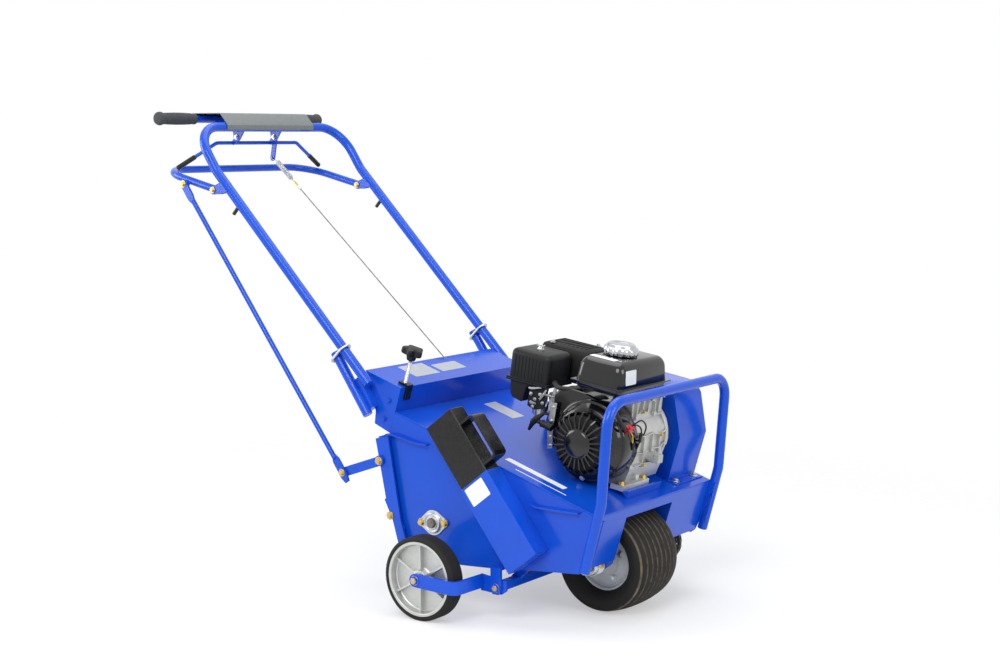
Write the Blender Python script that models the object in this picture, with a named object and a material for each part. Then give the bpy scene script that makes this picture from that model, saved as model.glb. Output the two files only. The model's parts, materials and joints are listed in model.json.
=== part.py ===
# Walk-behind lawn aerator standing on its three wheels, tines lifted for transport.
# Metres. +X is forward, +Y is the machine's left, +Z is up, the floor is Z = 0.
# Every x below is measured from the rear wheel axle. One empty then moves the whole
# machine so that the middle of its length stands on the origin.
import bpy
import bmesh
from math import sin, cos, tan, pi, radians, atan2, hypot
from mathutils import Vector, Matrix

GAP = 0.0003                # running gap between touching pieces
SHEET = 0.003               # folded steel sheet of the chassis
TUBE = 0.0125               # radius of the handlebar, stub and guard tubes

# Chassis, drawn along the deck: s runs back from the nose, h rises square to the deck.
LEAN = radians(17.3)        # nose-down lean while the rear wheels hold the tines up
NOSE_X, NOSE_Z = 0.415, 0.280
HALF = 0.262                # half width over the side plates
DECK = 0.6235               # deck length
BOX_H = 0.0643              # rear box above the deck
BOX_TOP = 0.118             # length of the rear box's top
PANEL = 0.139               # height of the front panel
LEDGE = 0.012               # how far the side ledges stand out
GUARD_TOP = (0.448, 0.545)  # top of the engine guard
DECK_END = (NOSE_X - DECK * cos(LEAN), NOSE_Z + DECK * sin(LEAN))


def from_end(x, z):
    """A point of the handle or the lift linkage, measured from the deck's rear end."""
    return DECK_END[0] + x, DECK_END[1] + z


# Ground wheels
REAR_R, REAR_W, REAR_Y = 0.1015, 0.048, HALF + 0.116
REAR_RIM = 0.0905
FRONT_R, FRONT_W, FRONT_X, FRONT_Y = 0.1245, 0.180, 0.313, -0.012
FRONT_RIM = 0.0715
RIBS, CROWN = 6, 0.007
WHEEL_STEPS = 24            # facets round each tyre

# Weights and the slanted pockets that hold them
SLANT = radians(52)         # slope of the pocket below the level
WEIGHT_L, WEIGHT_W, WEIGHT_T = 0.399, 0.0925, 0.051
POCKET_L, POCKET_WALL = 0.229, 0.0022
POCKET_X, POCKET_Z = 0.2412, 0.1556  # middle of the pocket's foot, seen from the side

# Tine reel
REEL_X, REEL_Z = -0.060, 0.204
REEL_R = 0.140              # tip circle of the tines
STAR_R = 0.068              # tine wheel without its tines
STARS = 4
TINES = 6                   # tines on each tine wheel
STAR_SPACE = 0.118
STAR_T = 0.014
TINE_R = 0.0095
SHAFT = 0.0125              # radius of the reel shaft

# Drive
PITCH = 0.0127              # chain pitch
BIG_TEETH, SMALL_TEETH = 24, 15
JACK_X, JACK_Z = 0.148, 0.300
BELT_Y, WHEEL_CHAIN_Y, REEL_CHAIN_Y = HALF - 0.087, HALF - 0.059, HALF - 0.036
CRANK_PULLEY, JACK_PULLEY = 0.035, 0.085
BELT_W, BELT_T = 0.0085, 0.008

# Lift linkage
LIFT_X, LIFT_Z = from_end(-0.5767, 0.5356)  # pivots of the lift handle on the tubes
LIFT_BACK = from_end(-0.7857, 0.5846)     # the lift handle's hand grip
LIFT_TUBE = 0.010
CLEVIS_X, CLEVIS_Z = from_end(-0.6817, 0.5496)  # top pin of the lift rod
LEVER_X, LEVER_Z = from_end(-0.0357, -0.1234)  # lift shaft across the back of the side plates
LEVER_END_X, LEVER_END_Z = from_end(-0.1647, -0.1694)
CARRY_X, CARRY_Z = 0.160, 0.085     # pivots of the wheel carriage
CRANK_ARM, CRANK_WAY = 0.050, radians(-100)  # inner crank of the lift shaft
LINK_ARM, LINK_WAY = 0.060, radians(45)      # lug on the carriage that the link pushes
LEVER_Y0, LEVER_Y1 = HALF + GAP, HALF + GAP + 0.006
LINK_Y, LINK_W = HALF - 0.024, 0.014
LIFT_SHAFT = 0.0115
PIN, LINK_PIN = 0.005, 0.004
STRAP_Y, STRAP_T = HALF + 0.0085, 0.006
LUG_OUT, LUG_T = 0.046, 0.006

# Handlebar
BAR_Y = HALF + 0.025
BAR_LOW = from_end(-0.0627, 0.0666)
BAR_BEND = from_end(-0.5747, 0.5826)
BAR_TOP = from_end(-0.6547, 0.6996)
BAR_CORNER = 0.085
STUB_TOP, STUB_LOW = from_end(-0.1707, 0.1376), from_end(-0.0657, -0.0104)  # ends of the folding stubs
RING_AT, PEG_AT = 0.1127, 0.610   # along the leg from its low end
GRIP_X, GRIP_Z = from_end(-0.7627, 0.7216)
GRIP_HALF = BAR_Y + 0.031
GRIP_L = 0.135
GRIP_TUBE = 0.011
BAIL_X, BAIL_Z = from_end(-0.6797, 0.6726)
BAIL_YS = (-0.104, 0.042)
CABLE_Y = 0.047
CONSOLE_W, CONSOLE_Y = 0.340, -0.010

# Engine, drawn level about its crankshaft and then set on the deck with its own lean
ENGINE_X, ENGINE_Z = 0.299, 0.4235
ENGINE_LEAN = radians(8)
BASE_Z = -0.106
BASE_X0, BASE_X1 = -0.095, 0.092
BASE_Y0, BASE_Y1 = -0.094, 0.024
TANK_X0, TANK_X1, TANK_Y0, TANK_Y1 = -0.043, 0.090, -0.162, 0.058
TANK_Z0, TANK_Z1, TANK_SEAM = 0.126, 0.205, 0.147
CAP_X, CAP_Y, CAP_R = 0.014, -0.055, 0.043
FAN_R, FAN_Y0, FAN_Y1 = 0.100, -0.128, -0.064
RECOIL_Y, RECOIL_R = -0.180, 0.0745
RECOIL_HUB, RECOIL_SLOTS = 0.0315, 24
AIR_X0, AIR_X1, AIR_Y0, AIR_Y1 = -0.268, -0.150, -0.104, 0.000
AIR_Z0, AIR_SEAM, AIR_Z1 = 0.040, 0.094, 0.170
AIR_STEP = 0.004            # the base stands in from the cover by this
FIN_Y0, FIN_Y1 = -0.044, 0.072  # edges of the cylinder's fins
MUFFLER_X0, MUFFLER_X1, MUFFLER_Y0, MUFFLER_Y1 = -0.258, -0.112, 0.006, 0.110
MUFFLER_Z0, MUFFLER_Z1 = 0.088, 0.178
CARB_X, CARB_Y0, CARB_Y1 = -0.134, -0.088, -0.060
CYLINDER_Y = 0.012
OIL_X, OIL_Y, OIL_Z = 0.098, 0.018, -0.037
SWITCH_Y, SWITCH_TILT = -0.112, radians(28)
GRIP_PLACE = (-0.146, -0.142, 0.020)
ROPE_STEM = 0.020           # from the grip to its seat on the rope guide
ENGINE_SHAFT_Y = 0.112      # end of the crankshaft's boss, where the pulley starts

# The operator's bail, and the clutch cable that it pulls
BAIL_PIN = 0.003
BAIL_ARM = (BAIL_X - 0.012, BAIL_Z - 0.058)
CABLE_TOP = from_end(-0.5997, 0.5391)
CABLE_LOW = from_end(-0.0817, 0.0926)
CABLE_R = 0.0016
SPRING_WIRE, SPRING_R, SPRING_CURLS = 0.0013, 0.0060, 10

AXLE_R = 0.0080             # stub axles of the rear wheels
KNOB_Y, STUD = -(HALF - 0.030), 0.005
CHAIN_H = 0.0072
VEE = 0.0105                # depth of the pulleys' grooves

BLUE = ("blue powder coat", (0.010, 0.070, 0.560), 0.32, 0.0)
BLACK = ("black enamel", (0.018, 0.018, 0.020), 0.45, 0.0)
RUBBER = ("black rubber", (0.022, 0.022, 0.023), 0.85, 0.0)
GRIP_RUBBER = ("grey grip rubber", (0.055, 0.056, 0.060), 0.75, 0.0)
BRIGHT = ("bright zinc plate", (0.62, 0.62, 0.60), 0.34, 1.0)
CAST = ("cast aluminium", (0.56, 0.56, 0.55), 0.48, 1.0)
CHROME = ("chrome plate", (0.75, 0.75, 0.76), 0.10, 1.0)
PLASTIC = ("black plastic", (0.030, 0.032, 0.035), 0.50, 0.0)
GREY_SHEET = ("grey console sheet", (0.30, 0.32, 0.32), 0.45, 0.0)
RED = ("red plastic", (0.62, 0.02, 0.03), 0.40, 0.0)
STEEL = ("bare steel", (0.36, 0.36, 0.36), 0.42, 1.0)
TANK_PAINT = ("satin black tank paint", (0.030, 0.030, 0.032), 0.28, 0.0)


def clear_scene():
    for item in list(bpy.data.objects):
        bpy.data.objects.remove(item, do_unlink=True)


def material(finish):
    name, colour, rough, metal = finish
    found = bpy.data.materials.get(name)
    if found:
        return found
    made = bpy.data.materials.new(name)
    made.use_nodes = True
    shader = made.node_tree.nodes["Principled BSDF"]
    shader.inputs["Base Color"].default_value = (*colour, 1.0)
    shader.inputs["Roughness"].default_value = rough
    shader.inputs["Metallic"].default_value = metal
    made.diffuse_color = (*colour, 1.0)
    return made


def empty(name, place, parent=None, turn=0.0):
    found = bpy.data.objects.new(name, None)
    bpy.context.collection.objects.link(found)
    found.location = place
    found.rotation_euler = (0.0, turn, 0.0)
    found.parent = parent
    return found


def add(name, bm, finish, parent, pivot=(0.0, 0.0, 0.0), smooth=True):
    bmesh.ops.remove_doubles(bm, verts=bm.verts, dist=1e-6)
    bmesh.ops.recalc_face_normals(bm, faces=bm.faces)
    bmesh.ops.translate(bm, verts=bm.verts, vec=-Vector(pivot))
    mesh = bpy.data.meshes.new(name)
    bm.to_mesh(mesh)
    bm.free()
    mesh.materials.append(material(finish))
    if smooth:
        mesh.shade_smooth()
        mesh.set_sharp_from_angle(angle=radians(32))
    made = bpy.data.objects.new(name, mesh)
    bpy.context.collection.objects.link(made)
    made.location = pivot
    made.parent = parent
    return made


def combine(target, bm, operation):
    """Joins a shape to the target, or cuts it away, and keeps only the target."""
    other = add("tool", bm, BLUE, target.parent, target.location)
    change = target.modifiers.new(operation.lower(), "BOOLEAN")
    change.operation = operation
    change.solver = "EXACT"
    change.object = other
    bpy.context.view_layer.update()
    graph = bpy.context.evaluated_depsgraph_get()
    result = bpy.data.meshes.new_from_object(target.evaluated_get(graph))
    target.modifiers.clear()
    target.data = result
    result.shade_smooth()
    result.set_sharp_from_angle(angle=radians(32))
    bpy.data.objects.remove(other, do_unlink=True)


def weld(target, *shapes):
    for bm in shapes:
        combine(target, bm, "UNION")
    return target


def cut(target, *shapes):
    for bm in shapes:
        combine(target, bm, "DIFFERENCE")
    return target


def together(*parts):
    """Several shapes that stand apart, in one mesh, to be cut or joined at once."""
    whole = bmesh.new()
    for bm in parts:
        start = [whole.verts.new(v.co) for v in bm.verts]
        bm.verts.index_update()
        for face in bm.faces:
            whole.faces.new([start[v.index] for v in face.verts])
        bm.free()
    return whole


def mirrored(bm):
    """The same shape on the other side of the centre plane."""
    for v in bm.verts:
        v.co.y = -v.co.y
    bmesh.ops.reverse_faces(bm, faces=bm.faces)
    return bm


def tilt(s, h):
    x = NOSE_X - s * cos(LEAN) + h * sin(LEAN)
    z = NOSE_Z + s * sin(LEAN) + h * cos(LEAN)
    return x, z


def deck_xz(points):
    return [tilt(s, h) for s, h in points]


def prism(outline, y0, y1):
    """An outline in x and z, carried from y0 to y1."""
    bm = bmesh.new()
    low = [bm.verts.new((x, y0, z)) for x, z in outline]
    high = [bm.verts.new((x, y1, z)) for x, z in outline]
    bm.faces.new(low)
    bm.faces.new(list(reversed(high)))
    for i in range(len(outline)):
        j = (i + 1) % len(outline)
        bm.faces.new((low[j], low[i], high[i], high[j]))
    return bm


def slab(outline, frame, depth):
    """An outline in a frame's own x and y, carried along the frame's z."""
    bm = bmesh.new()
    low = [bm.verts.new(frame @ Vector((u, v, 0.0))) for u, v in outline]
    high = [bm.verts.new(frame @ Vector((u, v, depth))) for u, v in outline]
    bm.faces.new(low)
    bm.faces.new(list(reversed(high)))
    for i in range(len(outline)):
        j = (i + 1) % len(outline)
        bm.faces.new((low[j], low[i], high[i], high[j]))
    return bm


def block(x0, x1, y0, y1, z0, z1, bevel=0.0, steps=1):
    bm = prism([(x0, z0), (x1, z0), (x1, z1), (x0, z1)], y0, y1)
    if bevel:
        bmesh.ops.recalc_face_normals(bm, faces=bm.faces)
        bmesh.ops.bevel(bm, geom=list(bm.edges), offset=bevel, segments=steps,
                        profile=0.5, affect="EDGES", clamp_overlap=True)
    return bm


def turned(profile, centre, steps, axis="Y", phase=0.0):
    """Turns a closed profile of (along, radius) about an axis through the centre."""
    bm = bmesh.new()
    rings = []
    for along, radius in profile:
        ring = []
        for k in range(steps):
            t = phase + 2 * pi * k / steps
            a, b = radius * cos(t), radius * sin(t)
            place = {"X": (along, a, b), "Y": (a, along, b), "Z": (a, b, along)}[axis]
            ring.append(bm.verts.new(Vector(place) + Vector(centre)))
            if radius == 0.0:
                break
        rings.append(ring)
    for i, ring in enumerate(rings):
        after = rings[(i + 1) % len(rings)]
        for k in range(steps):
            n = (k + 1) % steps
            if len(ring) == 1 and len(after) == 1:
                break
            if len(ring) == 1:
                bm.faces.new((ring[0], after[n], after[k]))
            elif len(after) == 1:
                bm.faces.new((ring[k], ring[n], after[0]))
            else:
                bm.faces.new((ring[k], ring[n], after[n], after[k]))
    return bm


def rod(start, end, radius, steps=10):
    return sweep([Vector(start), Vector(end)], round_section(radius, steps))


def round_section(radius, steps):
    return [(radius * cos(2 * pi * k / steps), radius * sin(2 * pi * k / steps))
            for k in range(steps)]


def flat_section(width, height):
    return [(-width / 2, -height / 2), (width / 2, -height / 2),
            (width / 2, height / 2), (-width / 2, height / 2)]


def sweep(path, section, side=None, closed=False):
    """Carries a section along a path. With a side given, the section's first axis keeps
    to it; otherwise the section follows the path without twisting."""
    points = [Vector(p) for p in path]
    count = len(points)
    bm = bmesh.new()
    rings = []
    across = Vector(side) if side else None
    for i, p in enumerate(points):
        before = points[i - 1] if (i or closed) else p
        after = points[(i + 1) % count] if (i < count - 1 or closed) else p
        leave = (after - p).normalized() if after != p else (p - before).normalized()
        arrive = (p - before).normalized() if before != p else leave
        along = (arrive + leave).normalized()
        if across is None:
            across = along.orthogonal().normalized()
        if side is None:
            across = (across - along * across.dot(along)).normalized()
            over = along.cross(across)
        else:
            over = along.cross(across).normalized()
        stretch = 1.0 / max(0.3, along.dot(leave))
        bend = (leave - arrive)
        bend = bend.normalized() if bend.length > 1e-9 else Vector((0, 0, 0))
        ring = []
        for u, v in (section(i) if callable(section) else section):
            offset = across * u + over * v
            offset += bend * offset.dot(bend) * (stretch - 1.0)
            ring.append(bm.verts.new(p + offset))
        rings.append(ring)
    steps = len(rings[0])
    last = count if closed else count - 1
    for i in range(last):
        a, b = rings[i], rings[(i + 1) % count]
        for k in range(steps):
            n = (k + 1) % steps
            bm.faces.new((a[k], a[n], b[n], b[k]))
    if not closed:
        bm.faces.new(list(reversed(rings[0])))
        bm.faces.new(rings[-1])
    return bm


def rounded(points, radius, steps=5):
    """A path whose inner corners are arcs of the radius."""
    points = [Vector(p) for p in points]
    path = [points[0]]
    for before, corner, after in zip(points, points[1:], points[2:]):
        a = (before - corner).normalized()
        b = (after - corner).normalized()
        half = a.angle(b) / 2
        reach = radius / tan(half)
        centre = corner + (a + b).normalized() * (radius / sin(half))
        start = corner + a * reach - centre
        end = corner + b * reach - centre
        turn = start.angle(end)
        for k in range(steps + 1):
            t = k / steps
            mix = start * sin((1 - t) * turn) + end * sin(t * turn)
            path.append(centre + mix / sin(turn))
    path.append(points[-1])
    return path


def bore_for(radius, steps=12):
    """The corner radius of a faceted bore whose flats clear a shaft of this radius."""
    return (radius + GAP) / cos(pi / steps)


def circle(cx, cz, radius, steps, phase=0.0):
    return [(cx + radius * cos(phase + 2 * pi * k / steps),
             cz + radius * sin(phase + 2 * pi * k / steps)) for k in range(steps)]


def loop_round(circles, step):
    """The outline of a belt round two wheels, as evenly spaced points. Each wheel is
    (x, z, radius); the first stands where the belt leaves going to the second."""
    (x0, z0, r0), (x1, z1, r1) = circles
    span = hypot(x1 - x0, z1 - z0)
    heading = atan2(z1 - z0, x1 - x0)
    skew = atan2(r0 - r1, (span ** 2 - (r0 - r1) ** 2) ** 0.5)
    run = (span ** 2 - (r0 - r1) ** 2) ** 0.5
    up, down = heading + pi / 2 - skew, heading - pi / 2 + skew
    arc1, arc0 = (pi - 2 * skew) * r1, (pi + 2 * skew) * r0
    total = 2 * run + arc1 + arc0
    count = 2 * max(6, round(total / step / 2))
    points = []
    for k in range(count):
        d = total * k / count
        if d < run:
            f = d / run
            ax, az = x0 + r0 * cos(up), z0 + r0 * sin(up)
            bx, bz = x1 + r1 * cos(up), z1 + r1 * sin(up)
            points.append((ax + (bx - ax) * f, az + (bz - az) * f))
        elif d < run + arc1:
            t = up - (d - run) / r1
            points.append((x1 + r1 * cos(t), z1 + r1 * sin(t)))
        elif d < 2 * run + arc1:
            f = (d - run - arc1) / run
            ax, az = x1 + r1 * cos(down), z1 + r1 * sin(down)
            bx, bz = x0 + r0 * cos(down), z0 + r0 * sin(down)
            points.append((ax + (bx - ax) * f, az + (bz - az) * f))
        else:
            t = down - (d - 2 * run - arc1) / r0
            points.append((x0 + r0 * cos(t), z0 + r0 * sin(t)))
    return points


def side_of(sign, bm):
    return bm if sign < 0 else mirrored(bm)


def pin(start, seat, radius):
    """A pin along Y from its start through its seat, with a hexagon head on the seat."""
    way = 1 if seat[1] > start[1] else -1
    length = abs(seat[1] - start[1])
    profile = [(0.0, 0.0), (0.0, radius), (length + GAP, radius), (length + GAP, radius * 2.1),
               (length + radius * 1.3, radius * 2.1), (length + radius * 1.3, 0.0)]
    return turned([(way * along, r) for along, r in profile], start, 8)


def sprocket(x, z, y, teeth):
    """Teeth that reach just short of the chain which runs over them."""
    pitch_r = PITCH / (2 * sin(pi / teeth))
    tip = pitch_r * cos(pi / teeth) ** 2 - CHAIN_H / 2 - 2 * GAP
    outline = []
    for k in range(teeth):
        for part, radius in ((0.0, tip), (0.5, tip - 0.0035)):
            t = 2 * pi * (k + part) / teeth
            outline.append((x + radius * cos(t), z + radius * sin(t)))
    return prism(outline, y - 0.0025, y + 0.0025)


def build_chassis(root):
    side_y = HALF - SHEET
    deck = add("deck_plate", prism(deck_xz([(0, -SHEET), (DECK, -SHEET), (DECK, 0), (0, 0)]),
                                   -HALF, HALF), BLUE, root)
    pulley_room = JACK_PULLEY + 0.012
    cut(deck, block(JACK_X - pulley_room, ENGINE_X - 0.018, BELT_Y - 0.016, BELT_Y + 0.016,
                    NOSE_Z, NOSE_Z + 0.2))

    outline = deck_xz([(-0.018, -SHEET - GAP), (0.0, -PANEL), (0.008, -0.150), (0.128, -0.199),
                       (0.245, -0.249), (0.324, -0.279), (DECK - 0.1145, -0.300),
                       (DECK + 0.0315, -0.080), (DECK, -0.0575), (DECK, -SHEET - GAP)])
    for sign, name in ((-1, "side_plate_right"), (1, "side_plate_left")):
        plate = add(name, side_of(sign, prism(outline, -HALF, -side_y)), BLUE, root)
        weld(plate, *[side_of(sign, bm) for bm in side_fittings()])
        holes = [(REEL_X, REEL_Z, 0.021), (LEVER_X, LEVER_Z, LIFT_SHAFT + GAP),
                 (CARRY_X, CARRY_Z, PIN + GAP)]
        if sign > 0:
            holes.append((JACK_X, JACK_Z, SHAFT + GAP))
        for x, z, radius in holes:
            hole = prism(circle(x, z, radius / cos(pi / 12), 12), -HALF - 0.06, -side_y + 0.02)
            cut(plate, side_of(sign, hole))

    build_front_panel(root, side_y)
    build_rear_box(root, side_y)
    for sign, name in ((-1, "weight_pocket_right"), (1, "weight_pocket_left")):
        build_pocket(root, sign, name)


def side_fittings():
    """Ledges that stand out from the side plate, the lug of the wheel carriage, and the
    flat strap that stands off it outside the lift lever, on two spacers."""
    rear = [from_end(x, z) for x, z in (
        (-0.0227, -0.0574), (-0.0077, -0.0554), (0.0263, -0.0609), (0.0523, -0.0669),
        (0.0753, -0.0699), (0.1053, -0.0709))]
    front = [(0.232, 0.289), (0.246, 0.2835), (0.300, 0.2825), (0.366, 0.2835)]
    parts = []
    for route in (rear, front):
        path = [(x, -HALF - LEDGE / 2 + 0.001, z) for x, z in route]
        parts.append(sweep(path, flat_section(LEDGE + 0.002, 0.004), side=(0, 1, 0)))
    lug_y = HALF + LUG_OUT
    shelf = [(CARRY_X - 0.016, 0.128), (CARRY_X + 0.014, 0.128), (CARRY_X + 0.014, 0.134),
             (CARRY_X - 0.016, 0.134)]
    parts.append(prism(shelf, -lug_y, -HALF + 0.002))
    foot = [(CARRY_X - 0.016, 0.132), (CARRY_X - 0.016, CARRY_Z - 0.006),
            (CARRY_X - 0.010, CARRY_Z - 0.016), (CARRY_X + 0.008, CARRY_Z - 0.016),
            (CARRY_X + 0.014, CARRY_Z - 0.006), (CARRY_X + 0.014, 0.132)]
    parts.append(prism(foot, -lug_y, -lug_y + LUG_T))

    strap = deck_xz([(DECK + s, h) for s, h in (
        (-0.0065, -0.062), (0.0285, -0.0815), (-0.0460, -0.2125), (-0.0425, -0.217),
        (-0.0815, -0.256), (-0.1175, -0.308), (-0.1385, -0.294), (-0.1040, -0.2455))])
    for s, h in ((-0.0425, -0.165), (-0.1085, -0.270)):
        spacer = circle(*tilt(DECK + s, h), 0.009, 10)
        parts.append(prism(spacer, -STRAP_Y - 0.001, -HALF + 0.001))
    parts.append(prism(strap, -STRAP_Y - STRAP_T, -STRAP_Y))
    return parts


def build_reel_bearings(root):
    """Pressed two-bolt flange bearings that carry the reel in the side plates."""
    reach, lobe_r, round_r = 0.035, 0.011, 0.029
    outline = []
    for lobe in (0, pi):
        for k in range(-2, 3):
            t = lobe + k * pi / 7
            outline.append((reach * cos(lobe) + lobe_r * cos(t), lobe_r * sin(t)))
        for k in (-1, 0, 1):
            t = lobe + pi / 2 + k * pi / 8
            outline.append((round_r * cos(t), round_r * sin(t)))
    turn = radians(-5)
    face = [(REEL_X + u * cos(turn) + v * sin(turn), REEL_Z - u * sin(turn) + v * cos(turn))
            for u, v in outline]
    near = HALF + GAP
    dome = [(-near - 0.0015, 0.0), (-near - 0.0015, 0.026), (-near - 0.008, 0.0245),
            (-near - 0.0115, 0.0215), (-near - 0.0125, 0.0)]
    for sign, name in ((-1, "reel_bearing_right"), (1, "reel_bearing_left")):
        bearing = add(name, side_of(sign, prism(face, -near - 0.004, -near)), BRIGHT, root)
        weld(bearing, side_of(sign, turned(dome, (REEL_X, 0, REEL_Z), 12)))
        cut(bearing, side_of(sign, prism(circle(REEL_X, REEL_Z, bore_for(SHAFT), 12),
                                         -near - 0.03, -near + 0.03)))


def build_front_panel(root, side_y):
    inner = side_y - GAP
    notch0, notch1 = FRONT_Y - FRONT_W / 2 - 0.024, FRONT_Y + FRONT_W / 2 + 0.007
    top, arch, low = -SHEET - GAP, -0.0285, -PANEL
    face = [(-inner, top), (-inner, low), (notch0, low), (notch0, arch), (notch1, arch),
            (notch1, low), (inner, low), (inner, top)]
    bm = bmesh.new()
    rings = []
    for s in (0.0, SHEET):
        ring = []
        for y, h in face:
            x, z = tilt(s, h)
            ring.append(bm.verts.new((x, y, z)))
        rings.append(ring)
    bm.faces.new(rings[0])
    bm.faces.new(list(reversed(rings[1])))
    for i in range(len(face)):
        j = (i + 1) % len(face)
        bm.faces.new((rings[0][j], rings[0][i], rings[1][i], rings[1][j]))
    panel = add("front_panel", bm, BLUE, root)

    right = deck_xz([(0.0015, top), (0.0015, -0.150), (0.030, -0.190), (0.075, -0.205),
                     (0.215, -0.170), (0.215, top)])
    weld(panel, prism(right, notch0 - 0.004, notch0))
    left = deck_xz([(0.0015, top), (0.0015, -0.150), (0.030, -0.190), (0.075, -0.205),
                    (0.215, -0.150), (0.330, -0.120), (0.330, top)])
    weld(panel, prism(left, notch1, notch1 + 0.004))
    bore = SHAFT + GAP
    cut(panel, prism(circle(FRONT_X, front_z(), bore, 16), notch0 - 0.02, notch1 + 0.02),
        prism(circle(JACK_X, JACK_Z, bore, 16), notch1 - 0.02, notch1 + 0.02))


def front_z():
    return FRONT_R * cos(pi / WHEEL_STEPS)


def rear_z():
    return REAR_R * cos(pi / WHEEL_STEPS)


def build_rear_box(root, side_y):
    start = DECK + GAP
    end = start + BOX_TOP
    outline = [(start, BOX_H), (start, -0.057), (start + 0.052, -0.053),
               (start + 0.058, -0.022), (end, BOX_H)]
    box = add("rear_box", prism(deck_xz(outline), -HALF, HALF), BLUE, root)
    wall = SHEET
    hollow = [(start + wall, BOX_H - wall), (start + wall, -0.070), (start + 0.050, -0.070),
              (start + 0.055, -0.0235), (end - 0.0055, BOX_H - wall)]
    cut(box, prism(deck_xz(hollow), -side_y, side_y))
    line = Vector((cable_dir().x, 0, cable_dir().z))
    mouth = Vector((CABLE_LOW[0], CABLE_Y, CABLE_LOW[1]))
    hole = (CABLE_R + 2 * GAP) / cos(pi / 8)
    cut(box, rod(mouth - line * 0.03, mouth + line * 0.03, hole, 8))

    # The stub tubes that the handlebar folds on, each on a gusset from the box's end.
    stub_top, stub_low = [Vector((x, 0, z)) for x, z in (STUB_TOP, STUB_LOW)]
    along = (stub_low - stub_top).normalized()
    square = Vector((-along.z, 0, along.x))
    low = stub_low - along * 0.010
    high = low - along * 0.085
    pad = [(p.x, p.z) for p in (low - square * 0.010, low + square * 0.022,
                                high + square * 0.028, high - square * 0.010)]
    aside = Vector((0, -BAR_Y, 0))
    for sign in (-1, 1):
        weld(box, side_of(sign, rod(stub_top + aside, stub_low + aside, TUBE, 12)),
             side_of(sign, prism(pad, -BAR_Y + 0.004, -HALF + 0.001)))

    knob = knob_axis()
    leg_s = DECK - GAP
    hook = [(leg_s, 0.030), (leg_s - 0.005, 0.030), (leg_s - 0.005, BOX_H + 0.006),
            (leg_s + 0.026, BOX_H + 0.006), (leg_s + 0.026, BOX_H + 0.0003),
            (leg_s, BOX_H + 0.0003)]
    bracket = add("knob_bracket", prism(deck_xz(hook), KNOB_Y - 0.011, KNOB_Y + 0.011), BLACK,
                  root)
    cut(bracket, rod(knob[0] - knob[1] * 0.03, knob[0] + knob[1] * 0.03, STUD + 0.0004, 12))


def knob_axis():
    """Foot of the knob's stud on the box, and the way it points."""
    x, z = tilt(DECK + 0.013, BOX_H + 0.0012)
    return Vector((x, KNOB_Y, z)), Vector((sin(LEAN), 0, cos(LEAN)))


def slant_frame():
    """Down the pocket, and square to it towards the front, in x and z."""
    return (cos(SLANT), -sin(SLANT)), (sin(SLANT), cos(SLANT))


def slanted(points):
    (ax, az), (wx, wz) = slant_frame()
    return [(POCKET_X + u * ax + w * wx, POCKET_Z + u * az + w * wz) for u, w in points]


def build_pocket(root, sign, name):
    """A folded channel on the side plate, open at its top, that a weight drops into."""
    inner = WEIGHT_W / 2 + 0.0004
    outer = inner + POCKET_WALL
    near, far = HALF + GAP, HALF + GAP + WEIGHT_T + 0.0008
    shell = slanted([(0, -outer), (-POCKET_L, -outer), (-POCKET_L, outer), (0, outer)])
    room = slanted([(-SHEET, -inner), (-POCKET_L - 0.01, -inner),
                    (-POCKET_L - 0.01, inner), (-SHEET, inner)])
    pocket = add(name, side_of(sign, prism(shell, -far - POCKET_WALL, -near)), BLUE, root)
    cut(pocket, side_of(sign, prism(room, -far, -near + 0.01)))


def build_weights(root):
    (ax, az), (wx, wz) = slant_frame()
    for sign, name in ((-1, "weight_right"), (1, "weight_left")):
        near = HALF + 2 * GAP + 0.0002
        foot = -SHEET - GAP
        half = WEIGHT_W / 2
        bar = prism(slanted([(foot, -half), (foot - WEIGHT_L, -half),
                             (foot - WEIGHT_L, half), (foot, half)]),
                    -near - WEIGHT_T, -near)
        bmesh.ops.recalc_face_normals(bar, faces=bar.faces)
        bmesh.ops.bevel(bar, geom=list(bar.edges), offset=0.0015, segments=1,
                        affect="EDGES")
        x, z = slanted([(foot, 0.0)])[0]
        weight = add(name, side_of(sign, bar), BLACK, root, (x, 0, z))
        mid = -near - WEIGHT_T / 2
        high, low = -WEIGHT_L + 0.042, -WEIGHT_L + 0.154
        rise = half + 0.042
        route = [(high, half - 0.002), (high, rise), (low, rise), (low, half - 0.002)]
        path = []
        for u, w in route:
            px, pz = slanted([(u, w)])[0]
            path.append((px, mid, pz))
        handle = sweep(rounded(path, 0.010, 3), flat_section(0.045, 0.006), side=(0, 1, 0))
        weld(weight, side_of(sign, handle))


def build_guard(root):
    y = HALF + GAP + TUBE
    foot, knee, top = (0.386, 0.150), (0.430, 0.312), GUARD_TOP
    path = [(foot[0], -y, foot[1]), (knee[0], -y, knee[1]), (top[0], -y, top[1]),
            (top[0], y, top[1]), (knee[0], y, knee[1]), (foot[0], y, foot[1])]
    smooth = rounded(path, 0.055, 4)
    add("engine_guard", sweep(smooth, round_section(TUBE, 8)), BLUE, root)


def build_riser(root):
    """A folded channel on the sloping deck, with a lip in front, that carries the front
    of the engine's base. It is open at both ends and below."""
    s0 = (NOSE_X - 0.386) / cos(LEAN)
    lip, wall, back = 0.0195, 0.0025, 0.045
    top = BASE_Z - GAP
    ex, ez = engine_xz(back, top)
    s1 = (NOSE_X - ex) * cos(LEAN) + (ez - NOSE_Z) * sin(LEAN)
    outline = [tilt(s0, GAP), tilt(s0, lip), tilt(s0 + wall, lip),
               engine_xz(BASE_X1 + 0.0005, top), (ex, ez), tilt(s1, GAP),
               tilt(s1 - wall, GAP), engine_xz(back + wall, top - wall),
               engine_xz(BASE_X1 - 0.0020, top - wall), tilt(s0 + wall, GAP)]
    add("engine_riser", prism(outline, -0.093, 0.057), BLUE, root)


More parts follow.
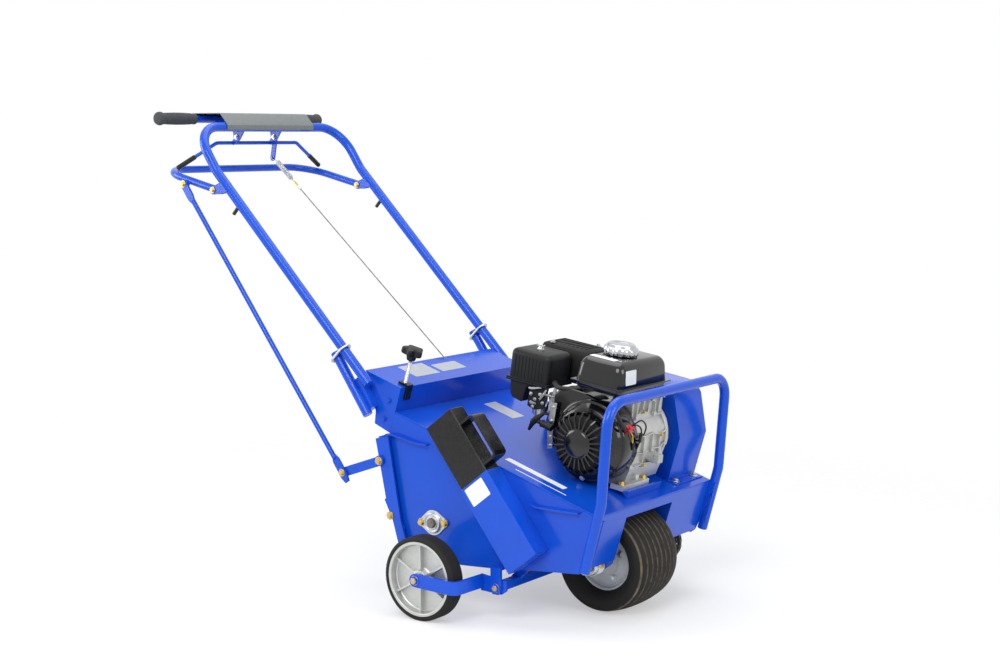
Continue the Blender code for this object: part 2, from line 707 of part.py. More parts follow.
def engine_xz(x, z):
    return (ENGINE_X + x * cos(ENGINE_LEAN) + z * sin(ENGINE_LEAN),
            ENGINE_Z - x * sin(ENGINE_LEAN) + z * cos(ENGINE_LEAN))


def build_belt_guard(root):
    y0, y1 = ENGINE_SHAFT_Y + 0.012, HALF - 0.006
    wall = 0.0025
    feet = [tilt(0.046, GAP), tilt(0.430, GAP)]
    outline = [feet[0], (0.404, 0.405), (0.388, 0.503), (0.372, 0.530), (0.280, 0.545),
               (0.120, 0.520), (0.030, 0.470), feet[1]]
    inner = [tilt(0.0495, -0.02), (0.4010, 0.405), (0.3852, 0.5020), (0.3702, 0.5275),
             (0.280, 0.5425), (0.1207, 0.5175), (0.0325, 0.4685), tilt(0.4265, -0.02)]
    guard = add("belt_guard", prism(outline, y0, y1), BLUE, root)
    cut(guard, prism(inner, y0 + wall, y1 - wall),
        prism(circle(ENGINE_X, ENGINE_Z, 0.030, 16), y0 - 0.01, y0 + 0.01))
    flange = deck_xz([(0.020, GAP), (0.049, GAP), (0.049, GAP + wall), (0.020, GAP + wall)])
    weld(guard, prism(flange, y0, y1))


def bar_point(d):
    """A point on the right leg's axis, d along it from its low end."""
    low, bend = Vector(BAR_LOW), Vector(BAR_BEND)
    p = low + (bend - low).normalized() * d
    return p.x, p.y


def build_handle(root):
    x0, z0 = BAR_LOW
    x1, z1 = BAR_BEND
    x2, z2 = BAR_TOP
    corner = [(x1, -BAR_Y, z1), (x2, -BAR_Y, z2), (x2, BAR_Y, z2), (x1, BAR_Y, z1)]
    curve = rounded(corner, BAR_CORNER, 5)
    path = [(x0, -BAR_Y, z0)] + curve + [(x0, BAR_Y, z0)]
    bar = add("handlebar", sweep(path, round_section(TUBE, 10)), BLUE, root)
    weld(bar, sweep([(GRIP_X, -GRIP_HALF + 0.006, GRIP_Z), (GRIP_X, GRIP_HALF - 0.006, GRIP_Z)],
                    round_section(GRIP_TUBE, 10)))
    for y in BAIL_YS:
        outline = [(x2, z2 + 0.006), (GRIP_X, GRIP_Z + 0.006), (GRIP_X - 0.004, GRIP_Z - 0.007),
                   (x2 - 0.040, z2 - 0.010), (BAIL_X - 0.011, BAIL_Z - 0.006),
                   (BAIL_X, BAIL_Z - 0.011), (BAIL_X + 0.011, BAIL_Z - 0.006),
                   (x2 + 0.004, z2 - 0.008)]
        weld(bar, prism(outline, y - 0.0025, y + 0.0025))
        cut(bar, prism(circle(BAIL_X, BAIL_Z, bore_for(BAIL_PIN), 12), y - 0.01, y + 0.01))
    for sign in (-1, 1):
        px, pz = bar_point(PEG_AT)
        peg = rod((px - 0.005, sign * BAR_Y, pz - 0.005),
                  (px - 0.024, sign * BAR_Y, pz - 0.026), 0.005, 8)
        weld(bar, peg)
        for side in (-1, 1):
            weld(bar, lift_ear(sign * BAR_Y + side * 0.0125))
        cut(bar, prism(circle(LIFT_X, LIFT_Z, bore_for(PIN), 12), sign * BAR_Y - 0.02,
                       sign * BAR_Y + 0.02))
    for sign, name in ((-1, "handle_grip_right"), (1, "handle_grip_left")):
        bore = bore_for(GRIP_TUBE)
        a, b = GRIP_HALF, GRIP_HALF - GRIP_L
        profile = [(-a, 0.0), (-a, 0.014), (-a + 0.004, 0.0175), (-a + 0.012, 0.0180),
                   (-a + 0.022, 0.0150), (-a + 0.050, 0.0162), (-a + 0.090, 0.0158),
                   (-b - 0.006, 0.0142), (-b, 0.0150), (-b, bore), (-a + 0.0055, bore),
                   (-a + 0.0055, 0.0)]
        add(name, side_of(sign, turned(profile, (GRIP_X, 0, GRIP_Z), 12)), GRIP_RUBBER, root)
    build_console(root)


def lift_ear(y):
    """One of the two plates on a tube that carry the lift handle's pivot."""
    px, pz = LIFT_X, LIFT_Z
    tube_side = Vector((x_on_bar(pz + 0.020), pz + 0.020))
    tube_low = Vector((x_on_bar(pz - 0.006), pz - 0.006))
    outline = [(tube_side.x, tube_side.y), (px - 0.010, pz + 0.006), (px - 0.009, pz - 0.008),
               (px + 0.004, pz - 0.012), (tube_low.x, tube_low.y)]
    return prism(outline, y - 0.002, y + 0.002)


def x_on_bar(z):
    (x0, z0), (x1, z1) = BAR_LOW, BAR_BEND
    return x0 + (z - z0) * (x1 - x0) / (z1 - z0)


def build_console(root):
    """A sheet over the cross tube and the grip bar, rolled down over its front edge."""
    front, back = BAR_TOP, (GRIP_X, GRIP_Z)
    rise = TUBE + GAP
    along = Vector((back[0] - front[0], back[1] - front[1])).normalized()
    square = Vector((along.y, -along.x))
    if square.y < 0:
        square = -square
    f, b = Vector(front), Vector(back)
    route = [f - along * rise - square * 0.008, f - along * rise + square * 0.004]
    route.append(f - along * (rise * 0.70) + square * (rise * 0.78))
    route.append(f + square * rise)
    route.append(b + square * (rise - 0.0005))
    route.append(b + along * 0.013 + square * (rise - 0.0015))
    shift = (square - along) * 0.0014
    sheet = sweep([(p.x + shift.x, CONSOLE_Y, p.y + shift.y) for p in route],
                  flat_section(CONSOLE_W, 0.0020), side=(0, 1, 0))
    add("console_plate", sheet, GREY_SHEET, root)


def build_rings(root):
    """Wire rings that hold each handlebar leg against its stub."""
    along = Vector((BAR_BEND[0] - BAR_LOW[0], 0, BAR_BEND[1] - BAR_LOW[1])).normalized()
    square = Vector((along.z, 0, -along.x))
    if square.z > 0:
        square = -square
    x, z = bar_point(RING_AT)
    centre = Vector((x, 0, z))
    wire = 0.0032
    clear = TUBE + wire + 0.0010
    far = 0.0290
    for sign, name in ((-1, "retaining_ring_right"), (1, "retaining_ring_left")):
        path = []
        for k in range(7):
            t = -pi / 2 + pi * k / 6
            path.append(Vector((0, clear * sin(t), 0)) - square * (clear * cos(t)))
        for k in range(7):
            t = pi / 2 - pi * k / 6
            path.append(Vector((0, clear * sin(t), 0)) + square * (far + clear * cos(t)))
        place = centre + Vector((0, sign * BAR_Y, 0))
        ring = sweep([p + place for p in path], round_section(wire, 6), closed=True)
        add(name, ring, BRIGHT, root, place)


def build_bail(root):
    """The operator's clutch bail, its lever arm, spring and cable."""
    rod_x, rod_z = BAIL_X - 0.025, BAIL_Z - 0.016
    end_x, end_z, end_y = BAIL_X - 0.049, BAIL_Z - 0.0815, BAR_Y - 0.009
    bar_end = end_y - 0.120
    path = rounded([(end_x, -end_y, end_z), (rod_x, -bar_end, rod_z), (rod_x, bar_end, rod_z),
                    (end_x, end_y, end_z)], 0.025, 3)
    pivot = (BAIL_X, 0, BAIL_Z)
    bail = add("clutch_bail", sweep(path, round_section(0.005, 8)), BLUE, root, pivot)
    arm_x, arm_z = BAIL_ARM
    for y, has_arm in zip(BAIL_YS, (False, True)):
        tab_y = y + 0.0025 + GAP + 0.002
        tab = [(BAIL_X - 0.006, BAIL_Z + 0.008), (BAIL_X + 0.008, BAIL_Z + 0.006),
               (BAIL_X + 0.009, BAIL_Z - 0.004), (rod_x + 0.006, rod_z - 0.006),
               (rod_x - 0.003, rod_z)]
        weld(bail, prism(tab, tab_y - 0.002, tab_y + 0.002),
             pin((BAIL_X, tab_y, BAIL_Z), (BAIL_X, y - 0.0025, BAIL_Z), BAIL_PIN))
        if has_arm:
            arm = [(BAIL_X - 0.008, BAIL_Z + 0.004), (arm_x - 0.008, arm_z - 0.002),
                   (arm_x, arm_z - 0.009), (arm_x + 0.008, arm_z - 0.002),
                   (BAIL_X + 0.008, BAIL_Z + 0.002)]
            weld(bail, prism(arm, tab_y - 0.002, tab_y + 0.002))


def cable_dir():
    d = Vector((CABLE_TOP[0] - CABLE_LOW[0], 0, CABLE_TOP[1] - CABLE_LOW[1]))
    return d.normalized()


def build_cable(root):
    d = cable_dir()
    side = Vector((0, 1, 0))
    over = d.cross(side)
    arm = Vector((BAIL_ARM[0], CABLE_Y, BAIL_ARM[1]))
    top = Vector((CABLE_TOP[0], CABLE_Y, CABLE_TOP[1]))
    low_end = Vector((CABLE_LOW[0], CABLE_Y, CABLE_LOW[1])) - d * 0.070
    coil_start = top + d * 0.030
    pitch = 2 * SPRING_WIRE + 0.0005
    curls = SPRING_CURLS
    points = []
    steps = 8
    for k in range(curls * steps + 1):
        t = 2 * pi * k / steps
        points.append(coil_start + d * (pitch * k / steps)
                      + (side * cos(t) + over * sin(t)) * SPRING_R)
    points.insert(0, coil_start - d * 0.003 + side * SPRING_R * 0.35)
    points.insert(0, coil_start - d * 0.008)
    points.insert(0, coil_start - d * 0.0125)
    points.append(points[-1] + d * 0.004 - side * SPRING_R * 0.65)
    points.append(points[-1] + d * 0.004 - side * SPRING_R * 0.35)
    points.append(points[-1] + d * 0.006)
    spring = tube_curve("clutch_spring", points, SPRING_WIRE, 1, BRIGHT, root)
    least = min((a - b).length for i, a in enumerate(points) for j, b in enumerate(points)
                if j > i + steps // 2)
    print("clutch_spring least gap to itself", round((least - 2 * SPRING_WIRE) * 1000, 2), "mm")

    line = add("clutch_cable", rod(low_end, top - d * 0.010, CABLE_R, 6), STEEL, root)
    ferrule = sweep([top - d * 0.016, top - d * 0.002], round_section(0.0034, 8))
    clip = sweep([top - d * 0.004, points[0] - d * GAP], flat_section(0.009, 0.0030),
                 side=(0, 1, 0))
    weld(line, ferrule, clip)
    return spring


def tube_curve(name, points, radius, resolution, finish, parent):
    curve = bpy.data.curves.new(name, "CURVE")
    curve.dimensions = "3D"
    curve.bevel_depth = radius
    curve.bevel_resolution = resolution
    curve.use_fill_caps = True
    spline = curve.splines.new("POLY")
    spline.points.add(len(points) - 1)
    for slot, p in zip(spline.points, points):
        slot.co = (*p, 1.0)
    curve.materials.append(material(finish))
    made = bpy.data.objects.new(name, curve)
    bpy.context.collection.objects.link(made)
    made.parent = parent
    return made


def build_lift(root):
    """Lift handle, rod, lever with its cross shaft, link and wheel carriage."""
    back_x, back_z = LIFT_BACK
    pivot = (LIFT_X, 0, LIFT_Z)
    start = Vector((LIFT_X + 0.008, -BAR_Y, LIFT_Z - 0.002))
    end = Vector((LIFT_X + 0.008, BAR_Y, LIFT_Z - 0.002))
    path = rounded([start, (back_x, -BAR_Y, back_z), (back_x, BAR_Y, back_z), end], BAR_CORNER, 4)
    handle = add("lift_handle", sweep(path, round_section(LIFT_TUBE, 8)), BLUE, root, pivot)
    ear = [(CLEVIS_X - 0.014, CLEVIS_Z + 0.012), (CLEVIS_X + 0.020, CLEVIS_Z + 0.006),
           (CLEVIS_X + 0.006, CLEVIS_Z - 0.011), (CLEVIS_X - 0.009, CLEVIS_Z - 0.009)]
    weld(handle, prism(ear, -BAR_Y - 0.013, -BAR_Y - 0.008))
    for sign in (-1, 1):
        for side in (-1, 1):
            weld(handle, pin((LIFT_X, sign * BAR_Y, LIFT_Z),
                             (LIFT_X, sign * BAR_Y + side * 0.0145, LIFT_Z), PIN))

    top = Vector((CLEVIS_X, -BAR_Y - 0.013 - GAP - 0.003, CLEVIS_Z))
    low = Vector((LEVER_END_X, -LEVER_Y1 - GAP - 0.003, LEVER_END_Z))
    d = (low - top).normalized()
    head = add("lift_rod", strap_end(top, d, 0.022, 0.062), BLUE, root, tuple(top))
    weld(head, rod(top + d * 0.050, low - d * 0.040, 0.0065, 10),
         strap_end(low, -d, 0.022, 0.052, 0.028),
         stud_head(top), stud_head(low))

    build_lever(root)
    build_link(root)
    build_carriage(root)


def stud_head(place):
    """The hexagon head of the bolt in a strap of the lift rod."""
    y = place.y - 0.003
    return turned([(y + 0.001, 0.0), (y + 0.001, 0.009), (y - 0.006, 0.009), (y - 0.006, 0.0)],
                  (place.x, 0, place.z), 6)


def strap_end(pin, d, width, length, beyond=0.010):
    """A flat strap about a pin, running on along d as the end of a rod."""
    side = Vector((-d.z, 0, d.x))
    half = width / 2
    outline = [pin - d * beyond + side * half * 0.55, pin - d * (beyond * 0.4) + side * half,
               pin + d * length * 0.8 + side * half, pin + d * length + side * 0.004,
               pin + d * length - side * 0.004, pin + d * length * 0.8 - side * half,
               pin - d * (beyond * 0.4) - side * half, pin - d * beyond - side * half * 0.55]
    return prism([(p.x, p.z) for p in outline], pin.y - 0.003, pin.y + 0.003)


def bar_outline(ax, az, bx, bz, width):
    """A flat bar from a to b with round ends."""
    heading = atan2(bz - az, bx - ax)
    points = []
    for cx, cz, turn in ((ax, az, heading + pi / 2), (bx, bz, heading - pi / 2)):
        for k in range(6):
            t = turn + pi * k / 5
            points.append((cx + width / 2 * cos(t), cz + width / 2 * sin(t)))
    return points


def crank_pin():
    """The link's rear pin, on the crank that hangs from the lift shaft."""
    return LEVER_X + CRANK_ARM * cos(CRANK_WAY), LEVER_Z + CRANK_ARM * sin(CRANK_WAY)


def link_foot():
    """The link's front end, above the carriage's pivot."""
    return CARRY_X + LINK_ARM * cos(LINK_WAY), CARRY_Z + LINK_ARM * sin(LINK_WAY)


def build_lever(root):
    pivot = (LEVER_X, 0, LEVER_Z)
    outline = bar_outline(LEVER_END_X, LEVER_END_Z, LEVER_X, LEVER_Z, 0.024)
    lever = add("lift_lever", prism(outline, -LEVER_Y1, -LEVER_Y0), BLUE, root, pivot)
    end = STRAP_Y + STRAP_T
    shaft = [(-end - 0.0062, 0.0), (-end - 0.0062, 0.0135), (-end - GAP, 0.0135),
             (-end - GAP, LIFT_SHAFT), (end + GAP, LIFT_SHAFT), (end + GAP, 0.0135),
             (end + 0.0062, 0.0135), (end + 0.0062, 0.0)]
    px, pz = crank_pin()
    arm = bar_outline(LEVER_X, LEVER_Z, px, pz, 0.022)
    weld(lever, turned(shaft, (LEVER_X, 0, LEVER_Z), 12),
         prism(arm, -LINK_Y - 0.0085, -LINK_Y - 0.0035),
         pin((px, -LINK_Y - 0.0050, pz), (px, -LINK_Y + 0.0015, pz), LINK_PIN))


def build_link(root):
    """The link from the lift shaft's crank to the wheel carriage. Its front end lies
    beside the carriage's lug, with the bolt's head on the link."""
    px, pz = crank_pin()
    fx, fz = link_foot()
    y0, y1 = -LINK_Y - 0.0035 + GAP, -LINK_Y + 0.0015
    link = add("lift_link", prism(bar_outline(px, pz, fx, fz, LINK_W), y0, y1), BLUE, root,
               (px, 0, pz))
    cut(link, prism(circle(px, pz, bore_for(LINK_PIN), 12), y0 - 0.01, y1 + 0.01))
    weld(link, prism(circle(fx, fz, 0.0085, 6), y1 - 0.001, y1 + 0.005))


def build_carriage(root):
    """Both wheel arms, welded to one bar across the machine."""
    pivot = (CARRY_X, 0, CARRY_Z)
    arm_t, arm_h, boss = 0.008, 0.032, 0.0005
    out_y = REAR_Y + REAR_W / 2 + 0.0035
    plate_y = HALF + LUG_OUT - LUG_T - GAP - 0.0025
    bend_x = REAR_R + 0.014
    cross = add("wheel_carriage", block(CARRY_X + 0.006, CARRY_X + 0.026, -plate_y, plate_y,
                                        CARRY_Z - 0.002, CARRY_Z + 0.018), BLUE, root, pivot)
    hub_z = rear_z()
    for sign in (-1, 1):
        path = rounded([(-0.002, -out_y - arm_t / 2, hub_z),
                        (bend_x, -out_y - arm_t / 2, hub_z - 0.004),
                        (bend_x, -plate_y, hub_z - 0.006)], 0.016, 3)
        arm = sweep(path, flat_section(arm_h, arm_t), side=(0, 0, 1))
        disc = prism(circle(0.0, hub_z, arm_h / 2, 12), -out_y - arm_t - boss, -out_y + boss)
        plate = prism([(bend_x - 0.004, CARRY_Z - 0.014), (CARRY_X + 0.012, CARRY_Z - 0.016),
                       (CARRY_X + 0.026, CARRY_Z - 0.006), (CARRY_X + 0.026, CARRY_Z + 0.018),
                       (bend_x - 0.004, CARRY_Z + 0.026)], -plate_y - 0.0025, -plate_y + 0.0025)
        weld(cross, side_of(sign, arm), side_of(sign, disc), side_of(sign, plate))
        stub = [(-out_y - arm_t - 0.0065, 0.0), (-out_y - arm_t - 0.0065, 0.0105),
                (-out_y - arm_t + 0.001, 0.0105), (-out_y - arm_t + 0.001, AXLE_R),
                (-REAR_Y + REAR_W / 2 + 0.006, AXLE_R), (-REAR_Y + REAR_W / 2 + 0.006, 0.0)]
        weld(cross, side_of(sign, turned(stub, (0, 0, hub_z), 12)))
        weld(cross, pin((CARRY_X, sign * plate_y, CARRY_Z),
                        (CARRY_X, sign * (HALF + LUG_OUT), CARRY_Z), PIN))
    foot = bar_outline(CARRY_X + 0.010, CARRY_Z + 0.012, *link_foot(), 0.020)
    weld(cross, prism(foot, -LINK_Y - 0.009, -LINK_Y - 0.0035))


def build_rear_wheels(root):
    phase = pi / WHEEL_STEPS - pi / 2
    z = rear_z()
    for sign, side in ((-1, "right"), (1, "left")):
        centre = (0, sign * REAR_Y, z)
        half = REAR_W / 2
        tyre = [(-half, REAR_RIM), (-half, REAR_R - 0.005), (-half + 0.006, REAR_R),
                (half - 0.006, REAR_R), (half, REAR_R - 0.005), (half, REAR_RIM)]
        add("rear_tyre_" + side, turned(tyre, centre, WHEEL_STEPS, "Y", phase), RUBBER, root,
            centre)
        build_rear_rim(root, sign, side, centre)


def build_rear_rim(root, sign, side, centre):
    """A cast disc in a rim, with six ribs on its outer face and a hub through it."""
    half = REAR_W / 2
    z = centre[2]
    edge = REAR_RIM * cos(pi / WHEEL_STEPS) - GAP
    bore = AXLE_R + GAP
    profile = [(-half + 0.001, edge), (half - 0.001, edge), (half - 0.001, edge - 0.007),
               (0.004, edge - 0.011), (0.004, 0.024), (half - 0.004, 0.021),
               (half - 0.004, bore), (-half + 0.004, bore), (-half + 0.004, 0.021),
               (-0.004, 0.024), (-0.004, edge - 0.011), (-half + 0.001, edge - 0.007)]
    rim = add("rear_rim_" + side, side_of(sign, turned(profile, (0, -REAR_Y, z), 16)), CAST,
              root, centre)
    for k in range(6):
        t = pi / 2 + pi * k / 3
        a, b = 0.020, edge - 0.009
        nx, nz = -sin(t) * 0.0022, cos(t) * 0.0022
        rib = [(a * cos(t) + nx, z + a * sin(t) + nz), (b * cos(t) + nx, z + b * sin(t) + nz),
               (b * cos(t) - nx, z + b * sin(t) - nz), (a * cos(t) - nx, z + a * sin(t) - nz)]
        weld(rim, side_of(sign, prism(rib, -REAR_Y - half + 0.009, -REAR_Y - 0.003)))


def build_front_wheel(root):
    """A wide ribbed tyre on a dished rim, and the axle with its chain wheel."""
    z = front_z()
    centre = (FRONT_X, FRONT_Y, z)
    half = FRONT_W / 2
    phase = pi / WHEEL_STEPS - pi / 2
    sidewall = [(-half + 0.030, FRONT_RIM), (-half + 0.009, FRONT_RIM + 0.011),
                (-half, FRONT_RIM + 0.027), (-half + 0.003, FRONT_R - 0.014)]
    tread = []
    crown_half, groove = half - 0.010, 0.004
    width = 2 * crown_half / RIBS
    for k in range(RIBS):
        a = -crown_half + k * width
        drop = CROWN * ((abs(a + width / 2) - width / 2) / crown_half) ** 2
        tread += [(a, FRONT_R - drop), (a + width - groove, FRONT_R - drop)]
        if k < RIBS - 1:
            tread.append((a + width - groove / 2, FRONT_R - drop - 0.0035))
    other = [(-along, radius) for along, radius in reversed(sidewall)]
    add("front_tyre", turned(sidewall + tread + other, centre, WHEEL_STEPS, "Y", phase),
        RUBBER, root, centre)

    edge = FRONT_RIM * cos(pi / WHEEL_STEPS) - GAP
    bore = SHAFT + GAP
    side = [(half - 0.028, edge), (half - 0.0285, edge - 0.006), (half - 0.044, edge - 0.014),
            (0.006, edge - 0.018), (0.006, 0.030), (0.040, 0.026), (0.040, bore)]
    rim = side + [(-along, radius) for along, radius in reversed(side)]
    add("front_rim", turned(rim, centre, 16), CAST, root, centre)

    reach = FRONT_Y - half - 0.044
    axle = add("front_axle", sweep([(FRONT_X, reach, z), (FRONT_X, WHEEL_CHAIN_Y + 0.006, z)],
                                   round_section(SHAFT, 12)), STEEL, root, centre)
    weld(axle, sprocket(FRONT_X, z, WHEEL_CHAIN_Y, BIG_TEETH))


def build_reel(root):
    centre = (REEL_X, 0, REEL_Z)
    end = HALF + 0.014
    shaft = add("reel_shaft", sweep([(REEL_X, -end, REEL_Z), (REEL_X, end, REEL_Z)],
                                    round_section(SHAFT, 12)), STEEL, root, centre)
    weld(shaft, sprocket(REEL_X, REEL_Z, REEL_CHAIN_Y, BIG_TEETH))
    for n in range(STARS):
        y = (n - (STARS - 1) / 2) * STAR_SPACE
        build_tine_wheel(root, f"tine_wheel_{n + 1}", y, radians(8) + n * radians(60 / STARS))


def build_tine_wheel(root, name, y, phase):
    """A disc with a scooped edge on a hub, and a hollow tine on each of its seats."""
    outline = []
    for k in range(TINES):
        t = phase + 2 * pi * k / TINES
        half = 0.014
        for side in (-1, 1):
            px = STAR_R * cos(t) - side * half * sin(t)
            pz = STAR_R * sin(t) + side * half * cos(t)
            outline.append((REEL_X + px, REEL_Z + pz))
        m = t + pi / TINES
        outline.append((REEL_X + STAR_R * 0.66 * cos(m), REEL_Z + STAR_R * 0.66 * sin(m)))
    wheel = add(name, prism(outline, y - STAR_T / 2, y + STAR_T / 2), STEEL, root,
                (REEL_X, y, REEL_Z))
    weld(wheel, turned([(-0.020, 0.0), (-0.020, 0.024), (0.020, 0.024), (0.020, 0.0)],
                       (REEL_X, y, REEL_Z), 12))
    weld(wheel, together(*[tine(y, phase + 2 * pi * k / TINES) for k in range(TINES)]))
    cut(wheel, prism(circle(REEL_X, REEL_Z, bore_for(SHAFT), 12), y - 0.04, y + 0.04))


def tine(y, t):
    """A hollow spoon: a tube from its seat to the tip circle, its mouth cut on a slant
    and its leading side open so that the plug falls out."""
    out = Vector((cos(t), 0, sin(t)))
    lead = Vector((sin(t), 0, -cos(t)))
    side = Vector((0, 1, 0))
    seat = STAR_R - 0.006
    steps = 6
    wall = 0.0022
    bm = bmesh.new()
    base = Vector((REEL_X, y, REEL_Z))

    def ring(radius, reach, slant):
        verts = []
        for k in range(steps):
            a = 2 * pi * k / steps
            lift = slant * cos(a)
            p = base + out * (reach + lift) + lead * radius * cos(a) + side * radius * sin(a)
            verts.append(bm.verts.new(p))
        return verts

    low = ring(TINE_R, seat, 0.0)
    mouth = ring(TINE_R * 0.92, REEL_R - 0.010, 0.010)
    inner = ring(TINE_R * 0.92 - wall, REEL_R - 0.0115, 0.0085)
    deep = ring(TINE_R - wall, seat + 0.018, -0.001)
    rings = [low, mouth, inner, deep]
    for a, b in zip(rings, rings[1:]):
        for k in range(steps):
            n = (k + 1) % steps
            bm.faces.new((a[k], a[n], b[n], b[k]))
    bm.faces.new(list(reversed(low)))
    bm.faces.new(deep)
    return bm


def build_drive(root):
    """Crank pulley, belt, jackshaft and the two chains."""
    pulley_profile = vee_profile(CRANK_PULLEY)
    pulley = add("drive_pulley", turned(pulley_profile, (ENGINE_X, BELT_Y, ENGINE_Z), 16),
                 CAST, root, (ENGINE_X, 0, ENGINE_Z))
    weld(pulley, rod((ENGINE_X, ENGINE_SHAFT_Y + GAP, ENGINE_Z),
                     (ENGINE_X, BELT_Y + 0.014, ENGINE_Z), 0.010, 12))

    centre = (JACK_X, 0, JACK_Z)
    inner = FRONT_Y + FRONT_W / 2 + 0.007 - 0.004
    jack = add("jackshaft", sweep([(JACK_X, inner, JACK_Z), (JACK_X, HALF - 0.0001, JACK_Z)],
                                  round_section(SHAFT, 12)), STEEL, root, centre)
    weld(jack, turned(vee_profile(JACK_PULLEY), (JACK_X, BELT_Y, JACK_Z), 14),
         sprocket(JACK_X, JACK_Z, WHEEL_CHAIN_Y, SMALL_TEETH),
         sprocket(JACK_X, JACK_Z, REEL_CHAIN_Y, SMALL_TEETH))

    ride = BELT_T / 2 + 0.0026
    route = loop_round([(ENGINE_X, ENGINE_Z, CRANK_PULLEY - VEE + ride),
                        (JACK_X, JACK_Z, JACK_PULLEY - VEE + ride)], 0.020)
    belt = sweep([(x, BELT_Y, z) for x, z in route], flat_section(BELT_W, BELT_T),
                 side=(0, 1, 0), closed=True)
    add("drive_belt", belt, RUBBER, root)

    small = PITCH / (2 * sin(pi / SMALL_TEETH))
    big = PITCH / (2 * sin(pi / BIG_TEETH))
    for name, y, x, z in (("wheel_chain", WHEEL_CHAIN_Y, FRONT_X, front_z()),
                          ("reel_chain", REEL_CHAIN_Y, REEL_X, REEL_Z)):
        route = loop_round([(JACK_X, JACK_Z, small), (x, z, big)], PITCH)
        add(name, chain(route, y), STEEL, root)


def vee_profile(radius):
    """A pulley's section: two cheeks and the groove between them."""
    return [(-0.009, 0.0), (-0.009, radius), (-0.0065, radius), (-0.0048, radius - VEE),
            (0.0048, radius - VEE), (0.0065, radius), (0.009, radius), (0.009, 0.0)]


def chain(route, y):
    """Link after link along the route, wide outer links and narrow inner ones by turns."""
    path, widths = [], []
    count = len(route)
    for k in range(count):
        x, z = route[k]
        nx, nz = route[(k + 1) % count]
        path.append(((x + nx) / 2, y, (z + nz) / 2))
        widths.append(0.0092 if k % 2 else 0.0064)
    return sweep(path, lambda i: flat_section(widths[i], CHAIN_H), side=(0, 1, 0), closed=True)


def build_engine(root):
    """The engine, level about its crankshaft, under one leaning empty."""
    mount = empty("engine_mount", (ENGINE_X, 0, ENGINE_Z), root, ENGINE_LEAN)
    build_block(mount)
    build_fan_cover(mount)
    build_recoil(mount)
    build_tank(mount)
    build_air_cleaner(mount)
    build_muffler(mount)
    build_carburettor(mount)
    return mount


def deck_below(x):
    """Height of the deck, in the engine's own frame, at a local x."""
    slope = tan(LEAN - ENGINE_LEAN)
    drop = (ENGINE_Z - NOSE_Z) * cos(LEAN) - (NOSE_X - ENGINE_X) * sin(LEAN)
    return -drop / cos(LEAN - ENGINE_LEAN) - x * slope


def build_block(mount):
    """Crankcase and inclined cylinder. The base rests on the riser and, behind, the deck."""
    rest = (BASE_Z - deck_below(0.0) - GAP) / -tan(LEAN - ENGINE_LEAN)
    foot = [(BASE_X0, deck_below(BASE_X0) + GAP), (rest, BASE_Z), (BASE_X1, BASE_Z),
            (BASE_X1, BASE_Z + 0.013), (BASE_X0, deck_below(BASE_X0) + 0.013)]
    engine = add("engine_block", prism(foot, FAN_Y1 + GAP, BASE_Y1), CAST, mount)
    weld(engine, block(0.056, BASE_X1, BASE_Y0, FAN_Y1 + 0.01, BASE_Z, BASE_Z + 0.0125))
    case = [(-0.066, -0.084), (0.074, BASE_Z + 0.010), (0.085, -0.060), (0.085, 0.030),
            (0.060, 0.060), (-0.030, 0.072), (-0.072, 0.050), (-0.078, -0.050)]
    weld(engine, prism(case, FAN_Y1 + GAP, 0.085))
    # The cylinder leans back from the crankcase, with its fins across it.
    frame = Matrix.Translation((0, CYLINDER_Y, 0)) @ Matrix.Rotation(radians(205), 4, "Y")
    barrel = block(0.040, 0.142, -0.048, 0.052, -0.046, 0.044, 0.004)
    bmesh.ops.transform(barrel, matrix=frame, verts=barrel.verts)
    weld(engine, barrel)
    for k in range(4):
        fin = block(0.086 + 0.016 * k, 0.089 + 0.016 * k, FIN_Y0 - CYLINDER_Y,
                    FIN_Y1 - CYLINDER_Y, -0.058, 0.055)
        bmesh.ops.transform(fin, matrix=frame, verts=fin.verts)
        weld(engine, fin)
    # The side cover toward the belt, the tank's post and the oil neck.
    weld(engine, turned([(0.080, 0.0), (0.080, 0.068), (0.096, 0.062), (0.100, 0.030),
                         (ENGINE_SHAFT_Y, 0.020), (ENGINE_SHAFT_Y, 0.0)], (0, 0, 0), 16),
         block(0.000, 0.050, -0.040, 0.045, 0.040, TANK_Z0 - GAP),
         turned([(0.060, 0.0), (0.060, 0.014), (OIL_X, 0.014), (OIL_X, 0.0)],
                (0, OIL_Y, OIL_Z), 12, "X"),
         block(MUFFLER_X1 + GAP, -0.085, 0.020, 0.060, MUFFLER_Z0 + 0.008, MUFFLER_Z0 + 0.026))


def build_fan_cover(mount):
    """The black blower housing: round about the crank, drawn out over the cylinder."""
    cover = add("fan_cover", prism(circle(0, 0, FAN_R, 24, radians(5.5)), FAN_Y0, FAN_Y1), BLACK,
                mount)
    ear = [(-0.010, 0.060), (0.010, 0.100), (-0.075, 0.112), (-0.116, 0.090),
           (-0.120, 0.030), (-0.100, -0.010), (-0.060, -0.040)]
    boss = block(-0.012, 0.012, -0.012, 0.012, FAN_R - 0.012, FAN_R + 0.001)
    frame = Matrix.Translation((0, SWITCH_Y, 0)) @ Matrix.Rotation(pi / 2 - SWITCH_TILT, 4, "Y")
    bmesh.ops.transform(boss, matrix=frame, verts=boss.verts)
    seat = Vector(GRIP_PLACE) - rope_way() * (ROPE_STEM + GAP)
    weld(cover, prism(ear, FAN_Y0 + 0.010, FAN_Y1), boss,
         rod(seat, seat - rope_way() * 0.048, 0.008, 8),
         turned([(FAN_Y0 - 0.014, 0.0), (FAN_Y0 - 0.014, RECOIL_R + 0.006),
                 (FAN_Y0 + 0.002, FAN_R - 0.008), (FAN_Y0 + 0.002, 0.0)], (0, 0, 0), 24))


